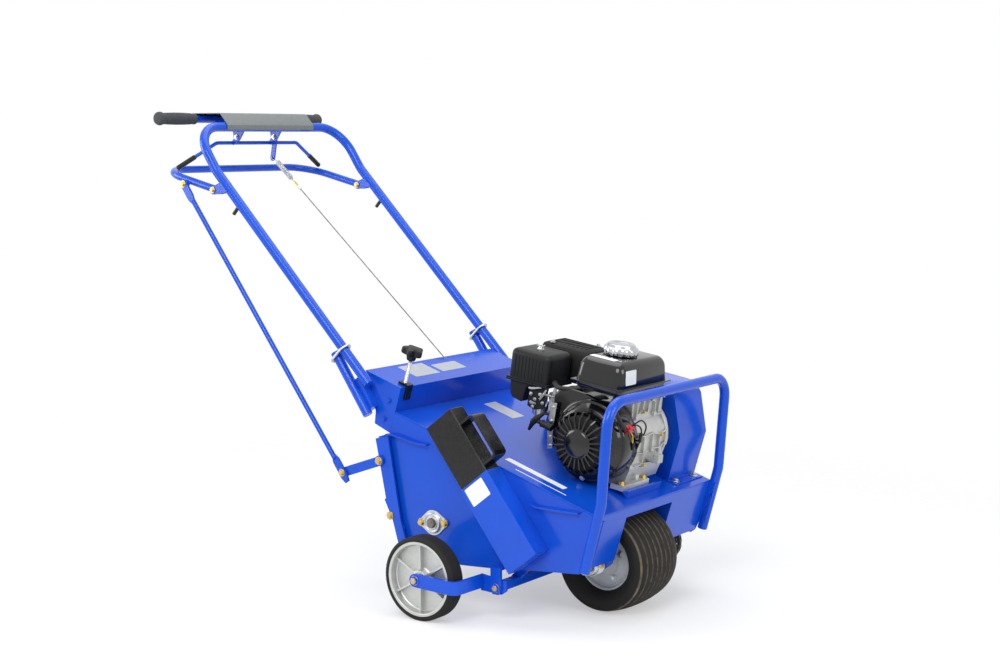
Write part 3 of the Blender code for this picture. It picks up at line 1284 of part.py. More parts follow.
def rope_way():
    """The way the starter's rope is pulled, in the engine's own frame."""
    return Vector((-0.978, 0.0, 0.207)).normalized()


def build_recoil(mount):
    """Starter housing: a ring, and slots that radiate from its plain hub."""
    face = RECOIL_Y
    back = FAN_Y0 - 0.014 - GAP
    wall = 0.0035
    profile = [(back, 0.0), (back, RECOIL_R), (face + 0.012, RECOIL_R),
               (face + 0.004, RECOIL_R - 0.006), (face + 0.0015, RECOIL_R - 0.018),
               (face + 0.0015, RECOIL_HUB + 0.003), (face, RECOIL_HUB), (face, 0.0)]
    grille = add("recoil_grille", turned(profile, (0, 0, 0), 24), PLASTIC, mount)
    room = [(back + 0.01, 0.0), (back + 0.01, RECOIL_R - wall), (face + 0.013, RECOIL_R - wall),
            (face + 0.0070, RECOIL_R - 0.0090), (face + 0.0050, RECOIL_R - 0.019),
            (face + 0.0050, 0.0)]
    cut(grille, turned(room, (0, 0, 0), 24))
    slots = []
    near, far = RECOIL_HUB + 0.005, RECOIL_R - 0.0105
    for k in range(RECOIL_SLOTS):
        t = 2 * pi * (k + 0.5) / RECOIL_SLOTS
        outline = [(r * cos(t) - w * sin(t), r * sin(t) + w * cos(t))
                   for r, w in ((near, -0.0017), (far, -0.0036), (far, 0.0036), (near, 0.0017))]
        slots.append(prism(outline, face - 0.01, face + 0.010))
    cut(grille, together(*slots))

    x, y, z = GRIP_PLACE
    bar = rounded([(x - 0.014, y, z - 0.026), (x - 0.001, y - 0.003, z),
                   (x + 0.022, y, z + 0.020)], 0.05, 3)
    grip = add("starter_grip", sweep(bar, round_section(0.0075, 8)), PLASTIC, mount, (x, y, z))
    weld(grip, rod((x, y, z), Vector(GRIP_PLACE) - rope_way() * ROPE_STEM, 0.0055, 8))


def build_tank(mount):
    """The fuel tank: an upper shell, its seam flange and a shallower lower shell."""
    tank = add("fuel_tank", block(TANK_X0, TANK_X1, TANK_Y0, TANK_Y1, TANK_Z0, TANK_Z1, 0.020, 2),
               TANK_PAINT, mount)
    rim = 0.004
    weld(tank, block(TANK_X0 - rim, TANK_X1 + rim, TANK_Y0 - rim, TANK_Y1 + rim,
                     TANK_SEAM - rim / 2, TANK_SEAM + rim / 2, 0.0008))
    neck = TANK_Z1 + 0.004
    weld(tank, turned([(TANK_Z1 - 0.004, 0.0), (TANK_Z1 - 0.004, 0.030), (neck, 0.028),
                       (neck, 0.0)], (CAP_X, CAP_Y, 0), 20, "Z"))
    low, skirt, high = neck + GAP, neck + 0.018, neck + 0.025
    outline = []
    for k in range(24):
        t = 2 * pi * k / 24
        r = CAP_R if k % 2 else CAP_R - 0.0025
        outline.append((CAP_X + r * cos(t), CAP_Y + r * sin(t)))
    cap = add("fuel_cap", slab(outline, Matrix.Translation((0, 0, low)), skirt - low), CHROME,
              mount, (CAP_X, CAP_Y, low))
    weld(cap, turned([(skirt - 0.001, 0.0), (skirt - 0.001, 0.036), (high - 0.002, 0.034),
                      (high, 0.026), (high, 0.0)], (CAP_X, CAP_Y, 0), 16, "Z"))


def build_air_cleaner(mount):
    """Two-piece housing: a deep cover over a base, with a wing nut on top."""
    nut_x, nut_y = (AIR_X0 + AIR_X1) / 2 - 0.006, (AIR_Y0 + AIR_Y1) / 2
    box = add("air_cleaner", block(AIR_X0, AIR_X1, AIR_Y0, AIR_Y1, AIR_SEAM - 0.010, AIR_Z1,
                                   0.014, 2), PLASTIC, mount)
    rim = 0.002
    base = [(AIR_X0 + 0.006, AIR_SEAM), (AIR_X1 - AIR_STEP, AIR_SEAM),
            (AIR_X1 - AIR_STEP, AIR_Z0 + 0.020), (AIR_X1 - 0.020, AIR_Z0),
            (AIR_X0 + 0.014, AIR_Z0 + 0.012)]
    weld(box, block(AIR_X0 - rim, AIR_X1 + rim, AIR_Y0 - rim, AIR_Y1 + rim, AIR_SEAM - 0.004,
                    AIR_SEAM + 0.003, 0.001),
         prism(base, AIR_Y0 + 0.006, AIR_Y1 - 0.004),
         turned([(AIR_Z1 - 0.003, 0.0), (AIR_Z1 - 0.003, 0.007), (AIR_Z1 + 0.006, 0.006),
                 (AIR_Z1 + 0.006, 0.0)], (nut_x, nut_y, 0), 10, "Z"),
         block(nut_x - 0.011, nut_x + 0.011, nut_y - 0.002, nut_y + 0.002, AIR_Z1 + 0.005,
               AIR_Z1 + 0.012))


def build_muffler(mount):
    """The muffler's heat guard: a slotted cover behind the cylinder."""
    guard = add("muffler_guard", block(MUFFLER_X0, MUFFLER_X1, MUFFLER_Y0, MUFFLER_Y1,
                                       MUFFLER_Z0, MUFFLER_Z1, 0.016, 2), BLACK, mount)
    slots = []
    for k in range(9):
        x = MUFFLER_X0 + 0.020 + k * 0.0125
        slots.append(block(x, x + 0.006, MUFFLER_Y0 + 0.018, MUFFLER_Y1 - 0.018,
                           MUFFLER_Z1 - 0.005, MUFFLER_Z1 + 0.01))
    cut(guard, together(*slots))


def build_carburettor(mount):
    """Carburettor between the air cleaner and the cylinder, and its two levers."""
    y = (CARB_Y0 + CARB_Y1) / 2
    body = add("carburettor", block(CARB_X - 0.016, CARB_X + 0.009, CARB_Y0, CARB_Y1, 0.034,
                                    0.066, 0.002), CAST, mount)
    weld(body, turned([(0.010, 0.0), (0.010, 0.0105), (0.039, 0.0117), (0.039, 0.0)],
                      (CARB_X - 0.003, y, 0), 12, "Z"),
         block(AIR_X1 - AIR_STEP + GAP, CARB_X, CARB_Y0 + 0.005, CARB_Y1 - 0.005, 0.061, 0.078),
         block(CARB_X - 0.004, CARB_X + 0.022, CARB_Y1 - 0.0035, FIN_Y0 - GAP, 0.039, 0.058))
    for name, z, up, reach in (("throttle_lever", 0.0600, 1, 0.034),
                               ("choke_lever", 0.0400, -1, 0.028)):
        place = (CARB_X, CARB_Y0 - GAP - 0.0015, z)
        outline = [(0.007 * cos(pi / 2 + pi * k / 6), 0.007 * sin(pi / 2 + pi * k / 6))
                   for k in range(7)]
        outline += [(reach, -0.0035), (reach + 0.004, 0.0), (reach, 0.0035)]
        face = [(place[0] - v, z + up * u) for u, v in outline]
        add(name, prism(face, place[1] - 0.0015, place[1] + 0.0015), BRIGHT, mount, place)


def build_small_controls(mount):
    """Engine switch on the blower housing, and oil filler cap low on the crankcase."""
    out = Matrix.Rotation(pi / 2 - SWITCH_TILT, 4, "Y")
    seat = FAN_R + 0.001 + GAP
    place = Vector((seat * cos(SWITCH_TILT), SWITCH_Y, seat * sin(SWITCH_TILT)))
    frame = Matrix.Translation(place) @ out
    outline = [(r * cos(pi * k / 6), r * sin(pi * k / 6))
               for k, r in enumerate([0.0095, 0.011] * 6)]
    switch = add("engine_switch", slab(outline, frame, 0.013), RED, mount, tuple(place))
    bar = block(-0.003, 0.003, -0.0095, 0.0095, 0.011, 0.019)
    bmesh.ops.transform(bar, matrix=frame, verts=bar.verts)
    weld(switch, bar)
    cap_x = OIL_X + GAP
    cap = add("oil_filler_cap", turned([(cap_x, 0.0), (cap_x, 0.015), (cap_x + 0.006, 0.015),
                                        (cap_x + 0.006, 0.0)], (0, OIL_Y, OIL_Z), 12, "X"),
              PLASTIC, mount, (cap_x, OIL_Y, OIL_Z))
    weld(cap, block(cap_x + 0.005, cap_x + 0.022, OIL_Y - 0.011, OIL_Y + 0.011,
                    OIL_Z - 0.011, OIL_Z + 0.011, 0.002))


def build_knob(root):
    """The lobed clamp knob on its stud."""
    foot, up = knob_axis()
    turn = Matrix.Rotation(LEAN, 4, "Y")
    frame = Matrix.Translation(foot) @ turn
    outline = []
    for k in range(20):
        t = 2 * pi * k / 20
        r = 0.0235 + 0.0045 * cos(5 * t)
        outline.append((r * cos(t), r * sin(t)))
    head = slab(outline, frame @ Matrix.Translation((0, 0, 0.078)), 0.018)
    knob = add("adjust_knob", head, BLACK, root, tuple(foot))
    boss = turned([(0.066, 0.0), (0.066, 0.011), (0.079, 0.013), (0.079, 0.0)], (0, 0, 0), 12,
                  "Z")
    stud = turned([(0.0, 0.0), (0.0, STUD), (0.068, STUD), (0.068, 0.0)], (0, 0, 0), 10, "Z")
    crown = turned([(0.094, 0.0), (0.094, 0.016), (0.099, 0.012), (0.099, 0.0)], (0, 0, 0), 14,
                   "Z")
    for bm in (boss, stud, crown):
        bmesh.ops.transform(bm, matrix=frame, verts=bm.verts)
    weld(knob, boss, stud, crown)


def build():
    clear_scene()
    front = GUARD_TOP[0] + TUBE
    rear = LIFT_BACK[0] - LIFT_TUBE
    root = empty("floor_datum", (-(front + rear) / 2, 0, 0))
    build_chassis(root)
    build_weights(root)
    build_reel_bearings(root)
    build_guard(root)
    build_riser(root)
    build_belt_guard(root)
    build_handle(root)
    build_rings(root)
    build_bail(root)
    build_cable(root)
    build_lift(root)
    build_rear_wheels(root)
    build_front_wheel(root)
    build_reel(root)
    build_drive(root)
    mount = build_engine(root)
    build_small_controls(mount)
    build_knob(root)
    bpy.context.view_layer.update()


build()
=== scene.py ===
# Studio picture of a walk-behind lawn aerator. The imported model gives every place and
# every moving body; this script gives the finer shapes, the finishes, light and camera.
import json
import bmesh
import bpy
from math import atan2, cos, hypot, pi, radians, sin, tan
from mathutils import Matrix, Vector

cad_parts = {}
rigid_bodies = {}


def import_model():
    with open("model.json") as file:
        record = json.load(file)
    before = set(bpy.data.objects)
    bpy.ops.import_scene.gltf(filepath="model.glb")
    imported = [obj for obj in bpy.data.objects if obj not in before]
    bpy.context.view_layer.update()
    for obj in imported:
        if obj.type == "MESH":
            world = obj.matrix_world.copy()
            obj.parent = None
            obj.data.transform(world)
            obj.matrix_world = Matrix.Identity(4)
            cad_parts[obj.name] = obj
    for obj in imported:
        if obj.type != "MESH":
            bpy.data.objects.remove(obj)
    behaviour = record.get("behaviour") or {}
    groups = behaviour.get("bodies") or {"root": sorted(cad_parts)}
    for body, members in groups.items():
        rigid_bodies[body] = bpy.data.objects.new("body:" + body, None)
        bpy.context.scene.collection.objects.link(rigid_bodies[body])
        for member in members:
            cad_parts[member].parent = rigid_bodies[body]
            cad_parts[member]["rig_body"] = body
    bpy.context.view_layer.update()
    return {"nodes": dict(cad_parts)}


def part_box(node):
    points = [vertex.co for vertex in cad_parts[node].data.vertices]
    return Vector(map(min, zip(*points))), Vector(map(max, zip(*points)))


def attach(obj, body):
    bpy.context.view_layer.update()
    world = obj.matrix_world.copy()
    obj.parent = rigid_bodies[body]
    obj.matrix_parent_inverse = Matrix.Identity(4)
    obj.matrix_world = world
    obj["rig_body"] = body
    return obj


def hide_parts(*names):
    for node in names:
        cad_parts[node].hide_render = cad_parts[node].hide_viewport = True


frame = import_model()
middle = 0.25775  # the rear axle stands this far ahead of the machine's middle
machineSpace = Matrix.Translation((middle, 0, 0))
frontX, frontY = 0.313, -0.012  # the front axle and the middle of its wheel
reelX, reelZ = -0.06, 0.204  # the tine reel's shaft
engineSpace = Matrix.Translation((0.299 + middle, 0, 0.4235)) @ Matrix.Rotation(radians(8), 4, "Y")
print("frame loaded:", len(frame["nodes"]), "nodes")


def linear(hexColour):
    parts = [int(hexColour[k:k + 2], 16) / 255 for k in (1, 3, 5)]
    return tuple(c / 12.92 if c <= 0.04045 else ((c + 0.055) / 1.055) ** 2.4
        for c in parts) + (1.0,)


def addNode(tree, kind, inputs=None, **settings):
    node = tree.nodes.new(kind)
    for key, value in settings.items():
        setattr(node, key, value)
    for key, value in (inputs or {}).items():
        if isinstance(value, bpy.types.NodeSocket):
            tree.links.new(value, node.inputs[key])
        else:
            node.inputs[key].default_value = value
    return node


def maths(tree, operation, a, b):
    return addNode(tree, "ShaderNodeMath", {0: a, 1: b}, operation=operation).outputs[0]


def vectorMaths(tree, operation, inputs, output=0):
    return addNode(tree, "ShaderNodeVectorMath", inputs, operation=operation).outputs[output]


def ramp(tree, value, low, high, bottom=0.0, top=1.0, **settings):
    return addNode(tree, "ShaderNodeMapRange", {"Value": value, "From Min": low, "From Max": high,
        "To Min": bottom, "To Max": top}, **settings).outputs["Result"]


def mixed(tree, share, a, b):
    return addNode(tree, "ShaderNodeMix", {0: share, 6: a, 7: b}, data_type="RGBA").outputs[2]


def noise(tree, place, scale, detail, rough=0.5):
    return addNode(tree, "ShaderNodeTexNoise", {"Vector": place, "Scale": scale, "Detail": detail,
        "Roughness": rough}).outputs["Fac"]


def skin(bm, rings, closed=False):
    # faces from each ring to the next, and a lid on both ends of an open row
    for a, b in zip(rings, rings[1:] + rings[:1] if closed else rings[1:]):
        for k in range(len(a)):
            n = (k + 1) % len(a)
            bm.faces.new((a[k], a[n], b[n], b[k]))
    if not closed:
        bm.faces.new(list(reversed(rings[0])))
        bm.faces.new(rings[-1])
    return bm


def prism(outline, y0, y1):
    bm = bmesh.new()
    near = [bm.verts.new((x, y0, z)) for x, z in outline]
    far = [bm.verts.new((x, y1, z)) for x, z in outline]
    bm.faces.new(near)
    bm.faces.new(list(reversed(far)))
    for i in range(len(outline)):
        j = (i + 1) % len(outline)
        bm.faces.new((near[j], near[i], far[i], far[j]))
    return bm


def block(x0, x1, y0, y1, z0, z1):
    return prism([(x0, z0), (x1, z0), (x1, z1), (x0, z1)], y0, y1)


def turned(profile, centre, steps, axis="Y"):
    # a closed profile of (along, radius) spun about an axis
    bm = bmesh.new()
    rings = []
    for along, radius in profile:
        ring = []
        for k in range(steps):
            t = 2 * pi * k / steps
            a, b = radius * cos(t), radius * sin(t)
            place = {"X": (along, a, b), "Y": (a, along, b), "Z": (a, b, along)}[axis]
            ring.append(bm.verts.new(Vector(place) + Vector(centre)))
            if radius == 0.0:
                break
        rings.append(ring)
    for i, ring in enumerate(rings):
        after = rings[(i + 1) % len(rings)]
        for k in range(steps):
            n = (k + 1) % steps
            if len(ring) == 1 and len(after) == 1:
                break
            if len(ring) == 1:
                bm.faces.new((ring[0], after[n], after[k]))
            elif len(after) == 1:
                bm.faces.new((ring[k], ring[n], after[0]))
            else:
                bm.faces.new((ring[k], ring[n], after[n], after[k]))
    return bm


def roundSection(radius, steps=24):
    return [(radius * cos(2 * pi * k / steps), radius * sin(2 * pi * k / steps))
        for k in range(steps)]


def flatSection(width, height):
    return [(-width / 2, -height / 2), (width / 2, -height / 2), (width / 2, height / 2),
        (-width / 2, height / 2)]


def sweep(path, section, side=None, closed=False):
    points = [Vector(p) for p in path]
    count = len(points)
    bm = bmesh.new()
    rings = []
    across = Vector(side) if side else None
    for i, p in enumerate(points):
        before = points[i - 1] if (i or closed) else p
        after = points[(i + 1) % count] if (i < count - 1 or closed) else p
        leave = (after - p).normalized() if after != p else (p - before).normalized()
        arrive = (p - before).normalized() if before != p else leave
        along = (arrive + leave).normalized()
        if across is None:
            across = along.orthogonal().normalized()
        if side is None:
            across = (across - along * across.dot(along)).normalized()
            over = along.cross(across)
        else:
            over = along.cross(across).normalized()
        stretch = 1.0 / max(0.3, along.dot(leave))
        bend = leave - arrive
        bend = bend.normalized() if bend.length > 1e-9 else Vector((0, 0, 0))
        ring = []
        for u, v in (section(i) if callable(section) else section):
            offset = across * u + over * v
            offset += bend * offset.dot(bend) * (stretch - 1.0)
            ring.append(bm.verts.new(p + offset))
        rings.append(ring)
    return skin(bm, rings, closed)


def rounded(points, radius, steps=14):
    points = [Vector(p) for p in points]
    path = [points[0]]
    for before, corner, after in zip(points, points[1:], points[2:]):
        a = (before - corner).normalized()
        b = (after - corner).normalized()
        half = a.angle(b) / 2
        reach = radius / tan(half)
        centre = corner + (a + b).normalized() * (radius / sin(half))
        start = corner + a * reach - centre
        end = corner + b * reach - centre
        turn = start.angle(end)
        for k in range(steps + 1):
            t = k / steps
            path.append(centre + (start * sin((1 - t) * turn) + end * sin(t * turn)) / sin(turn))
    path.append(points[-1])
    return path


def smoothPath(points, perSpan=8):
    # a soft curve through every point, for wires and hoses
    p = [Vector(q) for q in points]
    p = [2 * p[0] - p[1]] + p + [2 * p[-1] - p[-2]]
    path = []
    for i in range(1, len(p) - 2):
        for k in range(perSpan):
            t = k / perSpan
            path.append(0.5 * (2 * p[i] + (p[i + 1] - p[i - 1]) * t + (2 * p[i - 1] - 5 * p[i]
                + 4 * p[i + 1] - p[i + 2]) * t * t + (3 * p[i] - p[i - 1] - 3 * p[i + 1]
                + p[i + 2]) * t ** 3))
    return path + [p[-2]]


def rod(start, end, radius, steps=24):
    return sweep([Vector(start), Vector(end)], roundSection(radius, steps))


def mirrored(bm):
    for v in bm.verts:
        v.co.y = -v.co.y
    bmesh.ops.reverse_faces(bm, faces=bm.faces)
    return bm


def sideOf(sign, bm):
    return bm if sign < 0 else mirrored(bm)


def joined(*shapes):
    whole = bmesh.new()
    for bm in shapes:
        bm.verts.index_update()
        start = [whole.verts.new(v.co) for v in bm.verts]
        for face in bm.faces:
            whole.faces.new([start[v.index] for v in face.verts])
        bm.free()
    return whole


def slid(profile, by):
    return [(along + by, radius) for along, radius in profile]


def around(x, z, offsets):
    return [(x + dx, z + dz) for dx, dz in offsets]


def bothSides(route, y):
    # a route up the right side and back down the left
    return [(x, -y, z) for x, z in route] + [(x, y, z) for x, z in reversed(route)]


def lobedShape(rings, centre, steps, reach):
    # rings of (height, radius, lobe depth) round an upright axis
    bm = bmesh.new()
    turns = [2 * pi * k / steps for k in range(steps)]
    return skin(bm, [[bm.verts.new((centre[0] + reach(r, depth, t) * cos(t),
        centre[1] + reach(r, depth, t) * sin(t), z)) for t in turns] for z, r, depth in rings])


# Each entry starts from the real surface: two colours that it drifts between over
# patch mm, its roughness and how far that drifts, the grain's size and height in mm, and
# for worn spots their colour, their size in mm and the noise level where they begin.
finishes = {
    # polyester powder coat, baked: deep glossy blue with a faint orange peel
    "bluePowderCoat": {"light": "#0B52D2", "dark": "#0847BE", "patch": 120, "rough": 0.22,
        "drift": 0.06, "grain": 2.4, "height": 0.009, "coat": 0.12, "spec": 0.28,
        "chip": ("#5F86DE", 26, 0.735)},
    # brushed-on enamel over cast iron: black, uneven and dull
    "ironEnamel": {"light": "#0E0F11", "dark": "#060708", "patch": 14, "rough": 0.27, "drift": 0.24,
        "grain": 3.6, "height": 0.22, "spec": 0.38, "chip": ("#4E4D4B", 9, 0.70)},
    # moulded tyre rubber: soft black, greyer where it is handled
    "tyreRubber": {"light": "#24221F", "dark": "#131313", "patch": 35, "rough": 0.72, "drift": 0.08,
        "grain": 1.5, "height": 0.06, "spec": 0.25},
    # moulded grip rubber: dark grey and fully matt
    "gripRubber": {"light": "#4A4C50", "dark": "#3D3F43", "patch": 25, "rough": 0.78, "drift": 0.06,
        "grain": 1.2, "height": 0.05, "spec": 0.3},
    # moulded polypropylene with a spark-eroded texture: black with a broad soft shine
    "mouldedBlack": {"light": "#17181A", "dark": "#0F1011", "patch": 50, "rough": 0.44,
        "drift": 0.06, "grain": 1.1, "height": 0.05, "spec": 0.26, "chip": ("#3A3B3D", 18, 0.7)},
    # stoved satin paint on pressed steel: near-black with a clear soft reflection
    "tankPaint": {"light": "#0E0F11", "dark": "#090A0B", "patch": 70, "rough": 0.13, "drift": 0.04,
        "grain": 2.6, "height": 0.006, "coat": 0.1, "spec": 0.5},
    # heat paint on pressed steel: dead black; on the starter drum it is painted shade for the dark
    # inside of the housing
    "heatPaintAndShade": {"light": "#191A1B", "dark": "#0F0F0F", "patch": 22, "rough": 0.62, "drift": 0.10,
        "grain": 1.6, "height": 0.05, "spec": 0.25},
    # aluminium as cast: pale grey, sandy, duller in patches
    "castAluminium": {"light": "#CFD0CD", "dark": "#B0B1AE", "patch": 20, "rough": 0.5,
        "drift": 0.10, "grain": 1.4, "height": 0.11, "metal": 1.0, "chip": ("#8C8C89", 7, 0.66)},
    # machined aluminium: bright with a fine grain
    "machinedAluminium": {"light": "#D2D3D3", "dark": "#BFC0C0", "patch": 14, "rough": 0.28,
        "drift": 0.06, "grain": 0.8, "height": 0.02, "metal": 1.0},
    # stoved pale grey paint on a pressed wheel: even, with a soft shine
    "paleWheelPaint": {"light": "#C9CDCC", "dark": "#B4B8B8", "patch": 26, "rough": 0.36,
        "drift": 0.10, "grain": 1.6, "height": 0.03, "coat": 0.2},
    # bright zinc plate on pressed steel: clean cool grey
    "brightZinc": {"light": "#CDD0D2", "dark": "#B2B5B7", "patch": 12, "rough": 0.30, "drift": 0.10,
        "grain": 1.2, "height": 0.02, "metal": 1.0},
    # yellow chromate on zinc: gold that drifts to green and rose
    "yellowZinc": {"light": "#D8C486", "dark": "#B49A5C", "patch": 9, "rough": 0.33, "drift": 0.08,
        "grain": 1.0, "height": 0.02, "metal": 1.0},
    # polished chrome plate: a mirror
    "chromePlate": {"light": "#C6C9CC", "dark": "#B4B7BB", "patch": 40, "rough": 0.15,
        "drift": 0.03, "grain": 3.0, "height": 0.0, "metal": 1.0},
    # bare rolled steel, oiled: dark grey with brown drift
    "oiledSteel": {"light": "#8D8B88", "dark": "#67625E", "patch": 16, "rough": 0.40, "drift": 0.14,
        "grain": 1.3, "height": 0.04, "metal": 1.0, "chip": ("#5A3B26", 14, 0.6)},
    # drawn steel wire rope: fine and grey
    "wireRope": {"light": "#85878A", "dark": "#4E5055", "patch": 1.2, "rough": 0.42, "drift": 0.10,
        "grain": 0.9, "height": 0.10, "metal": 0.7},
    # grey stove paint on the console sheet: flat, with small darker scuffs
    "greySheet": {"light": "#7C8281", "dark": "#666C6B", "patch": 10, "rough": 0.36, "drift": 0.12,
        "grain": 2.0, "height": 0.012, "spec": 0.35, "chip": ("#A9ADAC", 8, 0.69)},
    # moulded red ABS: saturated and glossy
    "redPlastic": {"light": "#D3151F", "dark": "#BE111B", "patch": 20, "rough": 0.28, "drift": 0.05,
        "grain": 1.2, "height": 0.01},
    # extruded cable sheaths
    "yellowSheath": {"light": "#E2BD28", "dark": "#CFA91E", "patch": 10, "rough": 0.42,
        "drift": 0.05, "grain": 1.0, "height": 0.01},
    "blackSheath": {"light": "#121314", "dark": "#0B0B0C", "patch": 10, "rough": 0.50,
        "drift": 0.06, "grain": 1.0, "height": 0.02, "spec": 0.4},
    # printed vinyl left plain: white, and pale grey on aluminium foil
    "whiteVinyl": {"light": "#F1F2F1", "dark": "#E6E8E8", "patch": 30, "rough": 0.34, "drift": 0.05,
        "grain": 2.0, "height": 0.008},
    "greyFoil": {"light": "#BFC4C8", "dark": "#AEB3B8", "patch": 16, "rough": 0.36, "drift": 0.06,
        "grain": 1.4, "height": 0.015, "metal": 0.5},
    # grey moulded nylon: light and waxy
    "greyNylon": {"light": "#B4B7B6", "dark": "#A3A6A5", "patch": 12, "rough": 0.40, "drift": 0.05,
        "grain": 1.0, "height": 0.02},
    # nitrile drive belt: matt, brushed with dust
    "beltRubber": {"light": "#2C2C2D", "dark": "#1E1E1F", "patch": 12, "rough": 0.80, "drift": 0.06,
        "grain": 0.9, "height": 0.05, "spec": 0.25},
}


# the record's slot that each finish belongs to, where a piece doesn't name another
ownSlot = {
    "bluePowderCoat": "blue", "ironEnamel": "black_paint", "tyreRubber": "tyre",
    "dustyTread": "tyre", "gripRubber": "grip", "mouldedBlack": "plastic", "tankPaint": "tank",
    "heatPaintAndShade": "black_paint", "castAluminium": "cast", "machinedAluminium": "cast",
    "paleWheelPaint": "cast", "brightZinc": "zinc", "yellowZinc": "zinc", "chromePlate": "chrome",
    "oiledSteel": "steel", "wireRope": "steel", "greySheet": "grey_sheet", "redPlastic": "red",
    "yellowSheath": "plastic", "blackSheath": "plastic", "whiteVinyl": "plastic",
    "greyFoil": "plastic",
}


def makeFinish(name, finish):
    made = bpy.data.materials.new(name)
    made.use_nodes = True
    tree = made.node_tree
    shader = tree.nodes["Principled BSDF"]
    for label, value in (("Metallic", finish.get("metal", 0.0)),
            ("Coat Weight", finish.get("coat", 0.0)), ("Coat Roughness", 0.08),
            ("Specular IOR Level", finish.get("spec", 0.5))):
        shader.inputs[label].default_value = value
    place = addNode(tree, "ShaderNodeTexCoord").outputs["Object"]
    patches = noise(tree, place, 1000 / finish["patch"], 5.0, 0.62)
    colour = mixed(tree, patches, linear(finish["dark"]), linear(finish["light"]))
    if "chip" in finish:  # small worn, rusted or dusty spots, where a finer noise peaks
        chip, size, peak = finish["chip"]
        spots = noise(tree, place, 1000 / size, 9.0, 0.72)
        colour = mixed(tree, ramp(tree, spots, peak, peak + 0.03), colour, linear(chip))
    tree.links.new(colour, shader.inputs["Base Color"])
    rough, drift = finish["rough"], finish["drift"]
    tree.links.new(ramp(tree, patches, 0.3, 0.7, rough - drift / 2, rough + drift / 2),
        shader.inputs["Roughness"])
    relief = addNode(tree, "ShaderNodeBump",
        {"Height": noise(tree, place, 1000 / finish["grain"], 3.0), "Strength": 0.6,
        "Distance": finish["height"] / 1000})
    tree.links.new(relief.outputs["Normal"], shader.inputs["Normal"])
    made.diffuse_color = linear(finish["light"])
    return made


def dustyTread():
    # the same rubber, with dry soil held in the tread's grooves
    made = makeFinish("dustyTread", finishes["tyreRubber"])
    tree = made.node_tree
    base = tree.nodes["Principled BSDF"].inputs["Base Color"]
    place = addNode(tree, "ShaderNodeTexCoord").outputs["Object"]
    axle = vectorMaths(tree, "SUBTRACT", {0: place, 1: (frontX + middle, frontY, 0.1234)})
    across = addNode(tree, "ShaderNodeSeparateXYZ", {0: axle}).outputs["Y"]
    # folds at half a rib's pitch
    groove = ramp(tree, maths(tree, "PINGPONG", across, 0.082 / 8), 0.0036, 0.0024)
    flat = vectorMaths(tree, "MULTIPLY", {0: axle, 1: (1.0, 0.0, 1.0)})
    tread = ramp(tree, vectorMaths(tree, "LENGTH", {0: flat}, "Value"), 0.1095, 0.112)
    cloud = ramp(tree, noise(tree, place, 60.0, 6.0, 0.7), 0.38, 0.6, 0.35, 0.95)
    share = maths(tree, "MULTIPLY", maths(tree, "MULTIPLY", groove, cloud), tread)
    tree.links.new(mixed(tree, share, base.links[0].from_socket, linear("#75695A")), base)
    return made


materials = {name: makeFinish(name, finish) for name, finish in finishes.items()}
materials["dustyTread"] = dustyTread()
print("finishes made:", len(materials))


def makePiece(name, bm, finish, body="machine", replaces=(), slot="own", space=machineSpace,
        bevel=0.0, steps=2, sharp=35):
    bmesh.ops.remove_doubles(bm, verts=bm.verts, dist=1e-6)
    bmesh.ops.recalc_face_normals(bm, faces=bm.faces)
    bm.transform(space)
    mesh = bpy.data.meshes.new(name)
    bm.to_mesh(mesh)
    bm.free()
    mesh.materials.append(materials[finish])
    piece = bpy.data.objects.new(name, mesh)
    bpy.context.scene.collection.objects.link(piece)
    mesh.shade_smooth()
    mesh.set_sharp_from_angle(angle=radians(sharp))
    if bevel:
        edge = piece.modifiers.new("edge", "BEVEL")
        edge.width = bevel
        edge.segments = steps
        edge.limit_method = "ANGLE"
        edge.angle_limit = radians(40)
        edge.harden_normals = True
    if slot == "own":
        slot = ownSlot[finish]
    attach(piece, body)
    if replaces:
        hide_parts(*replaces)
    return piece


def dressNode(node, finish, bevel=0.0008):
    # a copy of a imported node, merged, with its edges broken as on real sheet or castings
    source = frame["nodes"][node]
    bm = bmesh.new()
    bm.from_mesh(source.data)
    bmesh.ops.remove_doubles(bm, verts=bm.verts, dist=2e-6)
    bmesh.ops.dissolve_limit(bm, angle_limit=radians(0.6), verts=bm.verts, edges=bm.edges)
    return makePiece(node + "_shell", bm, finish, source["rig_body"], (node,),
        space=Matrix.Identity(4), bevel=bevel)


def newTree(name, sockets):
    tree = bpy.data.node_groups.new(name, "GeometryNodeTree")
    tree.interface.new_socket("Geometry", in_out="INPUT", socket_type="NodeSocketGeometry")
    for label, kind, value in sockets:
        made = tree.interface.new_socket(label, in_out="INPUT", socket_type="NodeSocket" + kind)
        if value is not None:
            made.default_value = value
    tree.interface.new_socket("Geometry", in_out="OUTPUT", socket_type="NodeSocketGeometry")
    return tree, tree.nodes.new("NodeGroupInput"), tree.nodes.new("NodeGroupOutput")


def endTree(tree, given, out, points, instance, **how):
    # the instance on each point, made real and given the finish
    inputs = {"Points": points, "Instance": instance}
    inputs.update({label.capitalize(): value for label, value in how.items()})
    placed = addNode(tree, "GeometryNodeInstanceOnPoints", inputs)
    real = addNode(tree, "GeometryNodeRealizeInstances", {"Geometry": placed.outputs[0]})
    painted = addNode(tree, "GeometryNodeSetMaterial", {"Geometry": real.outputs[0],
        "Material": given.outputs["Finish"]})
    tree.links.new(painted.outputs[0], out.inputs[0])
    return tree


def drum(tree, vertices, radius, depth):
    return addNode(tree, "GeometryNodeMeshCylinder", {"Vertices": vertices, "Radius": radius,
        "Depth": depth}).outputs["Mesh"]


def shifted(tree, shape, **change):
    inputs = {"Geometry": shape}
    inputs.update({label.capitalize(): value for label, value in change.items()})
    return addNode(tree, "GeometryNodeTransform", inputs).outputs[0]


def upward(tree, z):
    return addNode(tree, "ShaderNodeCombineXYZ", {"Z": z}).outputs[0]


